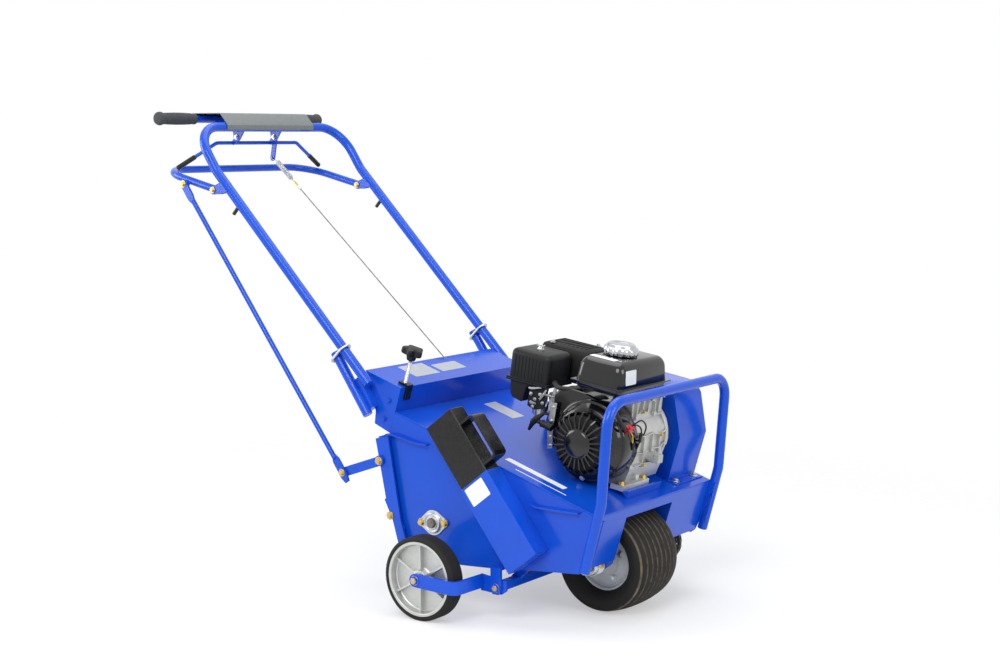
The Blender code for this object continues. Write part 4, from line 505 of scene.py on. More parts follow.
def facingTurn(tree, **axes):
    facing = addNode(tree, "GeometryNodeInputNamedAttribute", {"Name": "facing"},
        data_type="FLOAT_VECTOR")
    return addNode(tree, "FunctionNodeAlignRotationToVector",
        {"Vector": facing.outputs["Attribute"]}, **axes).outputs[0]


def boltTree():
    tree, given, out = newTree("hexBolts", [("Head radius", "Float", 0.008),
        ("Head height", "Float", 0.005), ("Washer radius", "Float", 0.011),
        ("Finish", "Material", None)])
    radius, height = given.outputs["Head radius"], given.outputs["Head height"]
    lift = maths(tree, "ADD", maths(tree, "MULTIPLY", height, 0.5), 0.0015)
    head = shifted(tree, drum(tree, 6, radius, height), translation=upward(tree, lift))
    crown = shifted(tree, drum(tree, 24, maths(tree, "MULTIPLY", radius, 0.74), 0.0012),
        translation=upward(tree, maths(tree, "ADD", height, 0.0019)))
    washer = shifted(tree, drum(tree, 32, given.outputs["Washer radius"], 0.0018),
        translation=(0.0, 0.0, 0.0009))
    whole = tree.nodes.new("GeometryNodeJoinGeometry")
    for part in (head, crown, washer):
        tree.links.new(part, whole.inputs[0])
    return endTree(tree, given, out, given.outputs["Geometry"], whole.outputs[0],
        rotation=facingTurn(tree, axis="Z"))


def barRingTree():
    # bars that stand like spokes on a ring in the XY plane
    tree, given, out = newTree("barRing", [("Count", "Int", 24), ("Ring radius", "Float", 0.05),
        ("Length", "Float", 0.03), ("Width", "Float", 0.003), ("Depth", "Float", 0.004),
        ("Tilt", "Float", 0.0), ("Finish", "Material", None)])
    ring = addNode(tree, "GeometryNodeMeshCircle", {"Vertices": given.outputs["Count"],
        "Radius": given.outputs["Ring radius"]})
    size = addNode(tree, "ShaderNodeCombineXYZ", {"X": given.outputs["Length"],
        "Y": given.outputs["Width"], "Z": given.outputs["Depth"]})
    flat = addNode(tree, "GeometryNodeMeshCube", {"Size": size.outputs[0]})
    tip = addNode(tree, "ShaderNodeCombineXYZ", {"Y": given.outputs["Tilt"]})
    place = addNode(tree, "GeometryNodeInputPosition")
    turn = addNode(tree, "FunctionNodeAlignRotationToVector", {"Vector": place.outputs[0]},
        axis="X", pivot_axis="Z")
    return endTree(tree, given, out, ring.outputs["Mesh"], shifted(tree, flat.outputs["Mesh"],
        rotation=tip.outputs[0]), rotation=turn.outputs[0])


def barRowTree():
    # equal bars in a row, such as fins, louvres and casting ribs
    tree, given, out = newTree("barRow", [("Count", "Int", 6), ("Start", "Vector", (0, 0, 0)),
        ("Step", "Vector", (0.01, 0, 0)), ("Size", "Vector", (0.003, 0.05, 0.05)),
        ("Finish", "Material", None)])
    row = addNode(tree, "GeometryNodeMeshLine", {"Count": given.outputs["Count"],
        "Start Location": given.outputs["Start"], "Offset": given.outputs["Step"]}, mode="OFFSET")
    bar = addNode(tree, "GeometryNodeMeshCube", {"Size": given.outputs["Size"]})
    return endTree(tree, given, out, row.outputs["Mesh"], bar.outputs["Mesh"])


def weldTree():
    # overlapping flattened drops along the edges of the given path
    tree, given, out = newTree("weldBead", [("Bead radius", "Float", 0.003),
        ("Spacing", "Float", 0.0028), ("Finish", "Material", None)])
    line = addNode(tree, "GeometryNodeMeshToCurve", {"Mesh": given.outputs["Geometry"]})
    drops = addNode(tree, "GeometryNodeCurveToPoints", {"Curve": line.outputs[0],
        "Length": given.outputs["Spacing"]}, mode="LENGTH")
    drop = addNode(tree, "GeometryNodeMeshUVSphere", {"Segments": 10, "Rings": 6,
        "Radius": given.outputs["Bead radius"]})
    wobble = addNode(tree, "FunctionNodeRandomValue", {"Seed": 4, 2: 0.85, 3: 1.12},
        data_type="FLOAT")
    return endTree(tree, given, out, drops.outputs["Points"], drop.outputs["Mesh"],
        rotation=drops.outputs["Rotation"], scale=wobble.outputs[1])


def linkTree():
    # one chain link on each point: two plates and a roller at either end
    tree, given, out = newTree("chainLinks", [("Half width", "Float", 0.003),
        ("Plate", "Vector", (0.016, 0.0012, 0.0085)), ("Roller radius", "Float", 0.0038),
        ("Finish", "Material", None)])
    plate = addNode(tree, "GeometryNodeMeshCube", {"Size": given.outputs["Plate"]}).outputs["Mesh"]
    half, radius = given.outputs["Half width"], given.outputs["Roller radius"]
    whole = tree.nodes.new("GeometryNodeJoinGeometry")
    for way in (-1, 1):
        side = addNode(tree, "ShaderNodeCombineXYZ",
            {"Y": maths(tree, "MULTIPLY", half, float(way))})
        tree.links.new(shifted(tree, plate, translation=side.outputs[0]), whole.inputs[0])
    wide = maths(tree, "MULTIPLY", half, 2.0)
    for at in (-0.5, 0.5):
        roller = shifted(tree, drum(tree, 10, radius, wide), translation=(at * pitch, 0.0, 0.0),
            rotation=(pi / 2, 0.0, 0.0))
        tree.links.new(roller, whole.inputs[0])
    return endTree(tree, given, out, given.outputs["Geometry"], whole.outputs[0],
        rotation=facingTurn(tree, axis="X", pivot_axis="Y"))


pitch = 0.0127
trees = {"bolts": boltTree(), "barRing": barRingTree(), "barRow": barRowTree(), "weld": weldTree(),
    "links": linkTree()}


def grown(name, treeName, values, finish, body="machine", points=((0, 0, 0),), edges=(),
        facing=None, space=None, bevel=0.0, replaces=(), slot="own"):
    # runs one of the trees on the given points and keeps the result as a plain mesh
    seed = bpy.data.meshes.new(name + "Seed")
    seed.from_pydata([tuple(p) for p in points], list(edges), [])
    if facing:
        store = seed.attributes.new("facing", "FLOAT_VECTOR", "POINT")
        store.data.foreach_set("vector", [c for f in facing for c in Vector(f).normalized()])
    holder = bpy.data.objects.new(name + "Seed", seed)
    bpy.context.scene.collection.objects.link(holder)
    change = holder.modifiers.new("grow", "NODES")
    change.node_group = trees[treeName]
    for item in trees[treeName].interface.items_tree:
        if item.in_out == "INPUT" and item.name in values:
            change[item.identifier] = values[item.name]
        if item.in_out == "INPUT" and item.name == "Finish":
            change[item.identifier] = materials[finish]
    bpy.context.view_layer.update()
    graph = bpy.context.evaluated_depsgraph_get()
    result = bpy.data.meshes.new_from_object(holder.evaluated_get(graph))
    bpy.data.objects.remove(holder, do_unlink=True)
    bm = bmesh.new()
    bm.from_mesh(result)
    bpy.data.meshes.remove(result)
    return makePiece(name, bm, finish, body, replaces, slot, space or machineSpace, bevel=bevel)


def boltsAt(name, places, finish="yellowZinc", body="machine", radius=0.0075, height=0.005,
        washer=0.0105, space=None):
    return grown(name, "bolts", {"Head radius": radius, "Head height": height,
        "Washer radius": washer}, finish, body, [p for p, _ in places],
        facing=[f for _, f in places], space=space, bevel=0.0004, slot=None)


print("trees ready")


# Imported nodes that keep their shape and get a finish
plainFinish = {
    "jackshaft": "oiledSteel", "front_axle": "oiledSteel", "reel_shaft": "oiledSteel",
    "drive_pulley": "machinedAluminium", "drive_belt": "beltRubber",
    "clutch_spring": "brightZinc", "oil_filler_cap": "greyNylon",
    "throttle_lever": "brightZinc", "choke_lever": "brightZinc",
}
for node, finish in plainFinish.items():
    frame["nodes"][node].data.materials.clear()
    frame["nodes"][node].data.materials.append(materials[finish])

# Folded and cut sheet, castings and flat bars: the same shape with its edge radius, by finish
shells = {
    "bluePowderCoat": {"deck_plate": 0.0008, "side_plate_right": 0.0008,
        "side_plate_left": 0.0008, "front_panel": 0.0008, "weight_pocket_right": 0.0006,
        "weight_pocket_left": 0.0006, "engine_riser": 0.0006, "belt_guard": 0.0008,
        "wheel_carriage": 0.0010, "lift_lever": 0.0008, "lift_link": 0.0008},
    "ironEnamel": {"knob_bracket": 0.0006, "weight_right": 0.0016, "weight_left": 0.0016},
    "castAluminium": {"carburettor": 0.0006, "engine_block": 0.0012},
    "redPlastic": {"engine_switch": 0.0006},
}
for finish, nodes in shells.items():
    for node, edge in nodes.items():
        dressNode(node, finish, edge)
print("packed nodes dressed")

# Handlebar, guard and lift tubes, as (x, z) from the rear axle
barY = 0.287
legLow, legBend, legTop = (-0.243, 0.532), (-0.755, 1.048), (-0.835, 1.165)
gripX, gripZ = -0.943, 1.187
bailX, bailZ = -0.86, 1.138
liftX, liftZ = -0.757, 1.001
clevisX, clevisZ = -0.862, 1.015


def onLeg(d, y=-barY):
    along = Vector((legBend[0] - legLow[0], 0, legBend[1] - legLow[1])).normalized()
    return Vector((legLow[0], y, legLow[1])) + along * d


def loopTube(name, route, y, radius, tube, body, node):
    return makePiece(name, sweep(rounded(bothSides(route, y), radius), roundSection(tube, 32)),
        "bluePowderCoat", body, (node,), sharp=50)


loopTube("handleTube", (legLow, legBend, legTop), barY, 0.085, 0.0125, "machine", "handlebar")
makePiece("gripBar", rod((gripX, -0.312, gripZ), (gripX, 0.312, gripZ), 0.011, 32),
    "bluePowderCoat", bevel=0.001, sharp=50)
brackets = []
for y in (-0.104, 0.042):
    outline = [(legTop[0], legTop[1] + 0.006), (gripX, gripZ + 0.006),
        (gripX - 0.004, gripZ - 0.007), (legTop[0] - 0.04, legTop[1] - 0.01)]
    outline += around(bailX, bailZ, ((-0.011, -0.006), (-0.007, -0.0105), (0, -0.012),
        (0.007, -0.0105), (0.011, -0.006)))
    outline.append((legTop[0] + 0.004, legTop[1] - 0.008))
    brackets.append(prism(outline, y - 0.0025, y + 0.0025))
makePiece("bailBrackets", joined(*brackets), "bluePowderCoat", bevel=0.0006)

ears, pegs = [], []
for sign in (-1, 1):
    for side in (-0.0125, 0.0125):
        y = sign * barY + side
        high, low = onLeg(0.69), onLeg(0.655)
        ear = around(liftX, liftZ, ((-0.01, 0.006), (-0.01, -0.006), (-0.004, -0.011),
            (0.004, -0.012)))
        ears.append(prism([(high.x, high.z)] + ear + [(low.x, low.z)], y - 0.002, y + 0.002))
    foot = onLeg(0.61, sign * barY)
    pegs.append(rod(foot + Vector((-0.005, 0, -0.005)), foot + Vector((-0.024, 0, -0.026)), 0.005,
        20))
makePiece("liftEars", joined(*ears), "bluePowderCoat", bevel=0.0006)
makePiece("legPegs", joined(*pegs), "ironEnamel", bevel=0.001)

guard = {"foot": (0.386, 0.15), "knee": (0.43, 0.312), "top": (0.448, 0.545), "y": 0.2748}
loopTube("guardTube", (guard["foot"], guard["knee"], guard["top"]), guard["y"], 0.055, 0.0125,
    "machine", "engine_guard")
welds = []
for sign in (-1, 1):
    for way in (-1, 1):
        welds += [(0.392 + way * 0.0088, sign * 0.2632, 0.172),
            (0.419 + way * 0.0088, sign * 0.2632, 0.27)]
grown("guardWelds", "weld", {"Bead radius": 0.0026, "Spacing": 0.0026}, "bluePowderCoat",
    points=welds, edges=[(k, k + 1) for k in range(0, len(welds), 2)])

lift = {"tube": 0.01, "back": (-0.966, 1.05)}
loopTube("liftLoop", ((liftX + 0.008, liftZ - 0.002), lift["back"]), barY, 0.085, lift["tube"],
    "lifting_handle", "lift_handle")
ear = around(clevisX, clevisZ, ((-0.014, 0.012), (0.02, 0.006), (0.008, -0.01), (0, -0.012),
    (-0.009, -0.009)))
makePiece("liftEar", prism(ear, -barY - 0.013, -barY - 0.008), "bluePowderCoat", "lifting_handle",
    bevel=0.0006)
boltsAt("liftPivotBolts", [((liftX, s * barY + side * 0.0148, liftZ), (0, side, 0)) for s in (-1, 1)
    for side in (-1, 1)], "yellowZinc", "lifting_handle", radius=0.0065, height=0.0042,
    washer=0.0085)

# The rod: flattened ends on a round bar, each with its bolt.
topPin = Vector((clevisX, -barY - 0.0163, clevisZ))
lowPin = Vector((-0.345, -0.2716, 0.296))
down = (lowPin - topPin).normalized()


def strapEnd(pin, d, width, length, beyond):
    side = Vector((-d.z, 0, d.x))
    edge = [(-beyond, 0.28 * width), (-0.4 * beyond, width / 2), (0.72 * length, width / 2),
        (length, 0.0055)]
    edge += [(u, -v) for u, v in reversed(edge)]
    points = [pin + d * u + side * v for u, v in edge]
    return prism([(p.x, p.z) for p in points], pin.y - 0.003, pin.y + 0.003)


makePiece("liftRodBar", rod(topPin + down * 0.052, lowPin - down * 0.042, 0.0065, 28),
    "bluePowderCoat", "lifting_rod", ("lift_rod",), bevel=0.0008, sharp=50)
makePiece("liftRodEnds", joined(strapEnd(topPin, down, 0.022, 0.06, 0.01),
    strapEnd(lowPin, -down, 0.022, 0.05, 0.028)), "bluePowderCoat", "lifting_rod", bevel=0.0008)
boltsAt("liftRodBolts", [((pin.x, pin.y - 0.003, pin.z), (0, -1, 0)) for pin in (topPin, lowPin)],
    "yellowZinc", "lifting_rod", radius=0.0075, height=0.0045, washer=0.0098)

# Rings that slide down over the stubs
ringDims = {"wire": 0.0032, "far": 0.029, "at": 0.1127}
ringAlong = (onLeg(1.0) - onLeg(0.0)).normalized()
ringSquare = Vector((ringAlong.z, 0, -ringAlong.x))
if ringSquare.z > 0:
    ringSquare = -ringSquare
clear = 0.0125 + ringDims["wire"] + 0.001
for sign, side in ((-1, "right"), (1, "left")):
    path = []
    for way in (-1, 1):
        for k in range(21):
            t = way * (pi / 2 - pi * k / 20)
            reach = clear * cos(t) + (ringDims["far"] if way > 0 else 0)
            path.append(Vector((0, clear * sin(t), 0)) + ringSquare * (way * reach))
    place = onLeg(ringDims["at"], sign * barY)
    makePiece("holdRing_" + side, sweep([p + place for p in path],
        roundSection(ringDims["wire"], 16), closed=True), "brightZinc", side + "_ring",
        ("retaining_ring_" + side,), sharp=60)

# Grips: rubber pulled over the bar, an end flange, and fine ribs where the hand closes
gripProfile = [(0.0, 0.0), (0.0, 0.0135), (0.0012, 0.0155), (0.004, 0.0172), (0.008, 0.0182),
    (0.0115, 0.0181), (0.015, 0.0168), (0.019, 0.0152)]
for k in range(22):
    at = 0.022 + k * 0.0045
    swell = 0.0152 + 0.0012 * sin(pi * k / 21)
    gripProfile += [(at, swell), (at + 0.003, swell), (at + 0.0034, swell - 0.0006),
        (at + 0.0041, swell - 0.0006)]
gripProfile += [(0.1225, 0.0146), (0.128, 0.0143), (0.131, 0.0152), (0.1345, 0.015),
    (0.135, 0.0142), (0.135, 0.0114), (0.0055, 0.0114), (0.0055, 0.0)]
for sign, side in ((-1, "right"), (1, "left")):
    shape = turned([(-0.318 + along, radius) for along, radius in gripProfile], (gripX, 0, gripZ),
        40)
    makePiece("grip_" + side, sideOf(sign, shape), "gripRubber", replaces=("handle_grip_" + side,),
        sharp=45)
print("tubes made")

# Bail: a bent rod with its tabs, arm and black sleeves on both ends
bailBar = (bailX - 0.025, bailZ - 0.016)
bailEnd = (bailX - 0.049, bailZ - 0.0815)
bailPath = rounded([(bailEnd[0], -0.278, bailEnd[1]), (bailBar[0], -0.158, bailBar[1]),
    (bailBar[0], 0.158, bailBar[1]), (bailEnd[0], 0.278, bailEnd[1])], 0.025, 12)
makePiece("bailRod", sweep(bailPath, roundSection(0.005, 20)), "bluePowderCoat", "bail",
    ("clutch_bail",), bevel=0.0006, sharp=50)
sleeves = []
for sign in (-1, 1):
    end = Vector((bailEnd[0], sign * 0.278, bailEnd[1]))
    inward = (Vector((bailBar[0], sign * 0.158, bailBar[1])) - end).normalized()
    sleeves.append(rod(end - inward * 0.0015, end + inward * 0.06, 0.0066, 24))
makePiece("bailSleeves", joined(*sleeves), "mouldedBlack", "bail", bevel=0.0012)
tabs, tabBolts = [], []
for y, hasArm in ((-0.104, False), (0.042, True)):
    ty = y + 0.0048
    tabs.append(prism(around(bailX, bailZ, ((-0.006, 0.008), (0.008, 0.006), (0.009, -0.004)))
        + around(*bailBar, ((0.006, -0.006), (-0.003, 0))), ty - 0.002, ty + 0.002))
    if hasArm:
        arm = around(bailX - 0.012, bailZ - 0.058, ((-0.008, -0.002), (-0.005, -0.0075),
            (0, -0.009), (0.005, -0.0075), (0.008, -0.002)))
        tabs.append(prism([(bailX - 0.008, bailZ + 0.004)] + arm + [(bailX + 0.008, bailZ + 0.002)],
            ty - 0.0021, ty + 0.0021))
    tabBolts += [((bailX, y - 0.0026, bailZ), (0, -1, 0)), ((bailX, ty + 0.0021, bailZ), (0, 1, 0))]
makePiece("bailTabs", joined(*tabs), "bluePowderCoat", "bail", bevel=0.0005)
boltsAt("bailPins", tabBolts, "brightZinc", "bail", radius=0.0055, height=0.0035, washer=0.0068)

# Clutch cable, its crimped ferrule and the yellow-zinc clip that the spring hooks into
cableTop = Vector((-0.78, 0.047, 1.0045))
cableLow = Vector((-0.262, 0.047, 0.558))
cableWay = (cableTop - cableLow).normalized()
side, over = Vector((0, 1, 0)), cableWay.cross(Vector((0, 1, 0)))
ropeLength = (cableTop - cableLow).length + 0.06
strands = []
for k in range(6):
    path = []
    for i in range(161):
        at = cableLow - cableWay * 0.07 + cableWay * ropeLength * i / 160
        turn = 2 * pi * (k / 6 + i / 8)
        path.append(at + (side * cos(turn) + over * sin(turn)) * 0.00105)
    strands.append(sweep(path, roundSection(0.00055, 5)))
makePiece("clutchRope", joined(*strands), "wireRope", "cable", ("clutch_cable",), sharp=60)
makePiece("cableFerrule", sweep([cableTop - cableWay * 0.016, cableTop - cableWay * 0.002],
    roundSection(0.0034, 20)), "machinedAluminium", "cable", bevel=0.0008)
makePiece("cableClip", sweep([cableTop - cableWay * 0.004, cableTop + cableWay * 0.0172],
    flatSection(0.009, 0.003), side=(0, 1, 0)), "yellowZinc", "cable", bevel=0.0007)

# The rest of the closed spring, up to its hook through the bail's arm
spring = {"wire": 0.0013, "radius": 0.006, "from": 0.0612, "curls": 12, "steps": 12}
wound = []
for k in range(spring["curls"] * spring["steps"] + 1):
    t = 2 * pi * k / spring["steps"]
    along = spring["from"] + (2 * spring["wire"] + 0.0004) * k / spring["steps"]
    wound.append(cableTop + cableWay * along + (side * cos(t) + over * sin(t)) * spring["radius"])
crown = wound[-1] - side * spring["radius"]
hole = Vector((bailX - 0.012, 0.0468, bailZ - 0.058))
hook = [crown + side * 0.0045 + cableWay * 0.0016, crown + cableWay * 0.0045]
hook += [hole + Vector(d) for d in ((0.008, -0.0034, -0.0058), (0.0016, -0.0048, -0.0014),
    (-0.0016, -0.003, 0.0012), (-0.0022, 0.0, 0.0016), (-0.0016, 0.003, 0.0012),
    (0.0012, 0.0046, -0.0012), (0.0046, 0.0042, -0.004))]
makePiece("springTop", sweep(wound + smoothPath(hook, 4), roundSection(spring["wire"], 8)),
    "brightZinc", "cable", sharp=60)

# Wheels
rearZ, frontZ = 0.1015 * cos(pi / 24), 0.1245 * cos(pi / 24)
rear = {"radius": 0.1012, "width": 0.048, "y": 0.378, "rim": 0.0905}
for sign, side in ((-1, "right"), (1, "left")):
    h, r, rim = rear["width"] / 2, rear["radius"], rear["rim"]
    profile = [(-h, rim), (-h - 0.0004, rim + 0.004), (-h + 0.0006, r - 0.0046),
        (-h + 0.0022, r - 0.0018), (-h + 0.005, r - 0.0002), (-0.0125, r), (-0.0118, r - 0.0014),
        (-0.0104, r - 0.0014), (-0.0097, r), (-0.0036, r), (-0.0029, r - 0.0014),
        (-0.0015, r - 0.0014), (-0.0008, r), (0.005, r), (0.0057, r - 0.0014), (0.0071, r - 0.0014),
        (0.0078, r), (0.013, r), (0.0137, r - 0.0014), (0.0151, r - 0.0014), (0.0158, r),
        (h - 0.005, r - 0.0002), (h - 0.0022, r - 0.0018), (h - 0.0006, r - 0.0046),
        (h + 0.0004, rim + 0.004), (h, rim)]
    makePiece("solidTyre_" + side, turned(profile, (0, sign * rear["y"], rearZ), 96), "tyreRubber",
        "rear_wheel_" + side, ("rear_tyre_" + side,), sharp=50)
    edge = rim - 0.0006
    profile = [(-h + 0.001, edge), (h - 0.001, edge), (h - 0.001, edge - 0.0065),
        (h - 0.003, edge - 0.008), (0.006, edge - 0.01), (0.004, edge - 0.012), (0.004, 0.026),
        (0.006, 0.0235), (h - 0.0045, 0.0205), (h - 0.004, 0.0195), (h - 0.004, 0.0084),
        (-h + 0.004, 0.0084), (-h + 0.004, 0.0195), (-h + 0.0045, 0.0205), (-0.006, 0.0235),
        (-0.004, 0.026), (-0.004, edge - 0.012), (-0.006, edge - 0.01), (-h + 0.003, edge - 0.008),
        (-h + 0.001, edge - 0.0065)]
    shapes = [turned(profile, (0, -rear["y"], rearZ), 72)]
    for k in range(6):
        t = pi / 2 + pi * k / 3
        a, b, wide, thin = 0.0215, edge - 0.0085, 0.003, 0.0019
        c, s = cos(t), sin(t)
        shapes.append(prism([(a * c - wide * s, rearZ + a * s + wide * c),
            (b * c - thin * s, rearZ + b * s + thin * c),
            (b * c + thin * s, rearZ + b * s - thin * c),
            (a * c + wide * s, rearZ + a * s - wide * c)], -rear["y"] - h + 0.008,
            -rear["y"] - 0.003))
    makePiece("castRim_" + side, sideOf(sign, joined(*shapes)), "castAluminium", "rear_wheel_"
        + side, ("rear_rim_" + side,), bevel=0.0008)

front = {"radius": 0.1243, "width": 0.18, "rim": 0.0715, "ribs": 8, "crown": 0.007}
h, r, rim = front["width"] / 2, front["radius"], front["rim"]
wall = [(-h + 0.03, rim - 0.0004), (-h + 0.0215, rim + 0.0012), (-h + 0.013, rim + 0.006),
    (-h + 0.0058, rim + 0.014), (-h + 0.0012, rim + 0.0225), (-h, rim + 0.0285),
    (-h + 0.0006, r - 0.019), (-h + 0.003, r - 0.0115), (-h + 0.0062, r - 0.0078)]
crownHalf, groove = h - 0.008, 0.0046
width = 2 * crownHalf / front["ribs"]
tread = []
for k in range(front["ribs"]):
    a = -crownHalf + k * width + groove / 2
    b = a + width - groove
    for at, lower in ((a - 0.0004, 0.0052), (a, 0.001), (a + 0.001, 0.0), (b - 0.001, 0.0),
            (b, 0.001), (b + 0.0004, 0.0052)):
        tread.append((at, r - lower - front["crown"] * (abs(at) / crownHalf) ** 2.4))
other = [(-along, radius) for along, radius in reversed(wall)]
makePiece("ribTyre", turned(wall + tread[1:-1] + other, (frontX, frontY, frontZ), 128),
    "dustyTread", "front_wheel", ("front_tyre",), sharp=42)
edge = rim - 0.0012
face = [(h - 0.0275, edge), (h - 0.0283, edge - 0.004), (h - 0.03, edge - 0.0056),
    (h - 0.035, edge - 0.0078), (h - 0.0375, edge - 0.012), (h - 0.0385, edge - 0.019),
    (h - 0.039, 0.039), (h - 0.0375, 0.0345), (h - 0.0345, 0.032), (h - 0.0335, 0.029),
    (h - 0.0335, 0.013)]
makePiece("dishedRim", turned(face + [(-along, radius) for along, radius in reversed(face)],
    (frontX, frontY, frontZ), 96), "paleWheelPaint", "front_wheel", ("front_rim",), sharp=30)
boltsAt("rimBolts", [((frontX + 0.044 * cos(t), frontY + way * (h - 0.0389),
    frontZ + 0.044 * sin(t)), (0, way, 0)) for way in (-1, 1)
    for t in [2 * pi * k / 4 + 0.5 for k in range(4)]], "brightZinc", "front_wheel", radius=0.006,
    height=0.0045, washer=0.008)
# the axle's own flange bearings, on lugs that hang from the front housing
lugTurn = radians(16)
for sign, side in ((-1, "right"), (1, "left")):
    lobed = []
    for k in range(72):
        t = 2 * pi * k / 72
        lobes = max(0.0, abs(cos(t - lugTurn)) - 0.55) / 0.45
        reach = 0.024 + 0.015 * lobes ** 1.3
        lobed.append((frontX + reach * cos(t), frontZ + reach * sin(t)))
    seat = 0.1302 if sign < 0 else 0.0892
    plate = prism(lobed, -seat - 0.0035, -seat)
    dome = turned([(-seat - 0.003, 0.0), (-seat - 0.003, 0.0225), (-seat - 0.007, 0.021),
        (-seat - 0.0105, 0.0185), (-seat - 0.011, 0.015), (-seat - 0.0095, 0.0145),
        (-seat - 0.0095, 0.0)], (frontX, 0, frontZ), 48)
    makePiece("axleBearing_" + side, sideOf(sign, joined(plate, dome)), "brightZinc", bevel=0.0006)
    boltsAt("axleBolts_" + side, [((frontX + way * 0.0305 * cos(lugTurn), sign * (seat + 0.0035),
        frontZ + way * 0.0305 * sin(lugTurn)), (0, sign, 0)) for way in (-1, 1)], "yellowZinc",
        radius=0.0062, height=0.0048, washer=0.0082)
print("wheels made")

# Tine reel: four wheels of six hollow spoon tines
reel = {"tip": 0.14, "disc": 0.068, "tine": 0.0095, "space": 0.118}


def spoonTine(y, t, steps=20, spans=8):
    out = Vector((cos(t), 0, sin(t)))
    lead = Vector((sin(t), 0, -cos(t)))
    side = Vector((0, 1, 0))
    base = Vector((reelX, y, reelZ))
    bm = bmesh.new()
    rings = []
    seat, tip = reel["disc"] - 0.006, reel["tip"] - 0.01
    stations = [(seat + (tip - seat) * k / spans, reel["tine"] * (1 - 0.08 * k / spans),
        0.01 * (k / spans) ** 2) for k in range(spans + 1)]
    wall = 0.002
    inside = [(reach - 0.0012 if k == 0 else reach, radius - wall, slant)
        for k, (reach, radius, slant) in enumerate(reversed(stations[2:]))]
    for reach, radius, slant in stations + inside:
        ring = []
        for k in range(steps):
            a = 2 * pi * k / steps
            c, s = cos(a), sin(a)
            p = base + out * (reach + slant * c) + lead * radius * c + side * radius * s
            ring.append(bm.verts.new(p))
        rings.append(ring)
    return skin(bm, rings)


for n in range(4):
    y = (n - 1.5) * reel["space"]
    phase = radians(8) + n * radians(15)
    outline = []
    for k in range(6):
        t = phase + 2 * pi * k / 6
        for side in (-1, 1):
            outline.append((reelX + reel["disc"] * cos(t) - side * 0.014 * sin(t),
                reelZ + reel["disc"] * sin(t) + side * 0.014 * cos(t)))
        for j in range(1, 8):
            m = t + 0.205 + (pi / 3 - 0.41) * j / 8
            bow = reel["disc"] * (0.66 + 0.34 * abs(j / 4 - 1) ** 2.2)
            outline.append((reelX + bow * cos(m), reelZ + bow * sin(m)))
    hub = turned([(-0.02, 0.0), (-0.02, 0.0225), (-0.0185, 0.024), (0.0185, 0.024), (0.02, 0.0225),
        (0.02, 0.0)], (reelX, y, reelZ), 40)
    makePiece(f"tineDisc_{n + 1}", joined(prism(outline, y - 0.007, y + 0.007), hub), "oiledSteel",
        "tine_reel", (f"tine_wheel_{n + 1}",), bevel=0.0007)
    makePiece(f"tines_{n + 1}", joined(*[spoonTine(y, phase + 2 * pi * k / 6) for k in range(6)]),
        "oiledSteel", "tine_reel", sharp=40)
    boltsAt(f"tineBolts_{n + 1}", [((reelX + 0.052 * cos(t), y + way * 0.007,
        reelZ + 0.052 * sin(t)), (0, way, 0)) for t in [phase + 2 * pi * k / 6 for k in range(6)]
        for way in (-1, 1)], "brightZinc", "tine_reel", radius=0.0065, height=0.0045, washer=0.0085)


# Chains: plates and rollers, link after link along each packed route
def onRim(x, z, r, t):
    return x + r * cos(t), z + r * sin(t)


def loopRound(circles, step):
    (x0, z0, r0), (x1, z1, r1) = circles
    span, heading = hypot(x1 - x0, z1 - z0), atan2(z1 - z0, x1 - x0)
    run = (span ** 2 - (r0 - r1) ** 2) ** 0.5
    skew = atan2(r0 - r1, run)
    up, low = heading + pi / 2 - skew, heading - pi / 2 + skew
    arc1, arc0 = (pi - 2 * skew) * r1, (pi + 2 * skew) * r0
    total = 2 * run + arc1 + arc0
    count = 2 * max(6, round(total / step / 2))
    points = []
    for k in range(count):
        d = total * k / count
        if d < run:
            a, b, f = onRim(x0, z0, r0, up), onRim(x1, z1, r1, up), d / run
            points.append((a[0] + (b[0] - a[0]) * f, a[1] + (b[1] - a[1]) * f))
        elif d < run + arc1:
            points.append(onRim(x1, z1, r1, up - (d - run) / r1))
        elif d < 2 * run + arc1:
            a, b, f = onRim(x1, z1, r1, low), onRim(x0, z0, r0, low), (d - run - arc1) / run
            points.append((a[0] + (b[0] - a[0]) * f, a[1] + (b[1] - a[1]) * f))
        else:
            points.append(onRim(x0, z0, r0, low - (d - 2 * run - arc1) / r0))
    return points


jack = {"x": 0.148, "z": 0.3}
small, big = pitch / (2 * sin(pi / 15)), pitch / (2 * sin(pi / 24))
for chainName, node, y, x, z in (("wheelChain", "wheel_chain", 0.203, frontX, frontZ), ("reelChain",
        "reel_chain", 0.226, reelX, reelZ)):
    route = loopRound([(jack["x"], jack["z"], small), (x, z, big)], pitch)
    links = {0: [], 1: []}
    for k, (px, pz) in enumerate(route):
        qx, qz = route[(k + 1) % len(route)]
        links[k % 2].append((((px + qx) / 2, y, (pz + qz) / 2), (qx - px, 0, qz - pz)))
    for odd, label, wide in ((0, "Inner", 0.0026), (1, "Outer", 0.004)):
        grown(chainName + label, "links", {"Half width": wide}, "oiledSteel", "machine",
            [p for p, _ in links[odd]], facing=[f for _, f in links[odd]], replaces=(node,) if odd
            else ())
print("reel and chains made")


# Engine, in the engine's own space: the crank is its Y axis
def roundedBox(x0, x1, y0, y1, z0, z1, radius, steps=5):
    bm = block(x0, x1, y0, y1, z0, z1)
    bmesh.ops.recalc_face_normals(bm, faces=bm.faces)
    bmesh.ops.bevel(bm, geom=list(bm.edges), offset=radius, segments=steps, profile=0.5,
        affect="EDGES", clamp_overlap=True)
    return bm


def onEngine(name, bm, finish, node=(), slot="own", body="machine", **more):
    return makePiece(name, bm, finish, body, node, slot, engineSpace, **more)


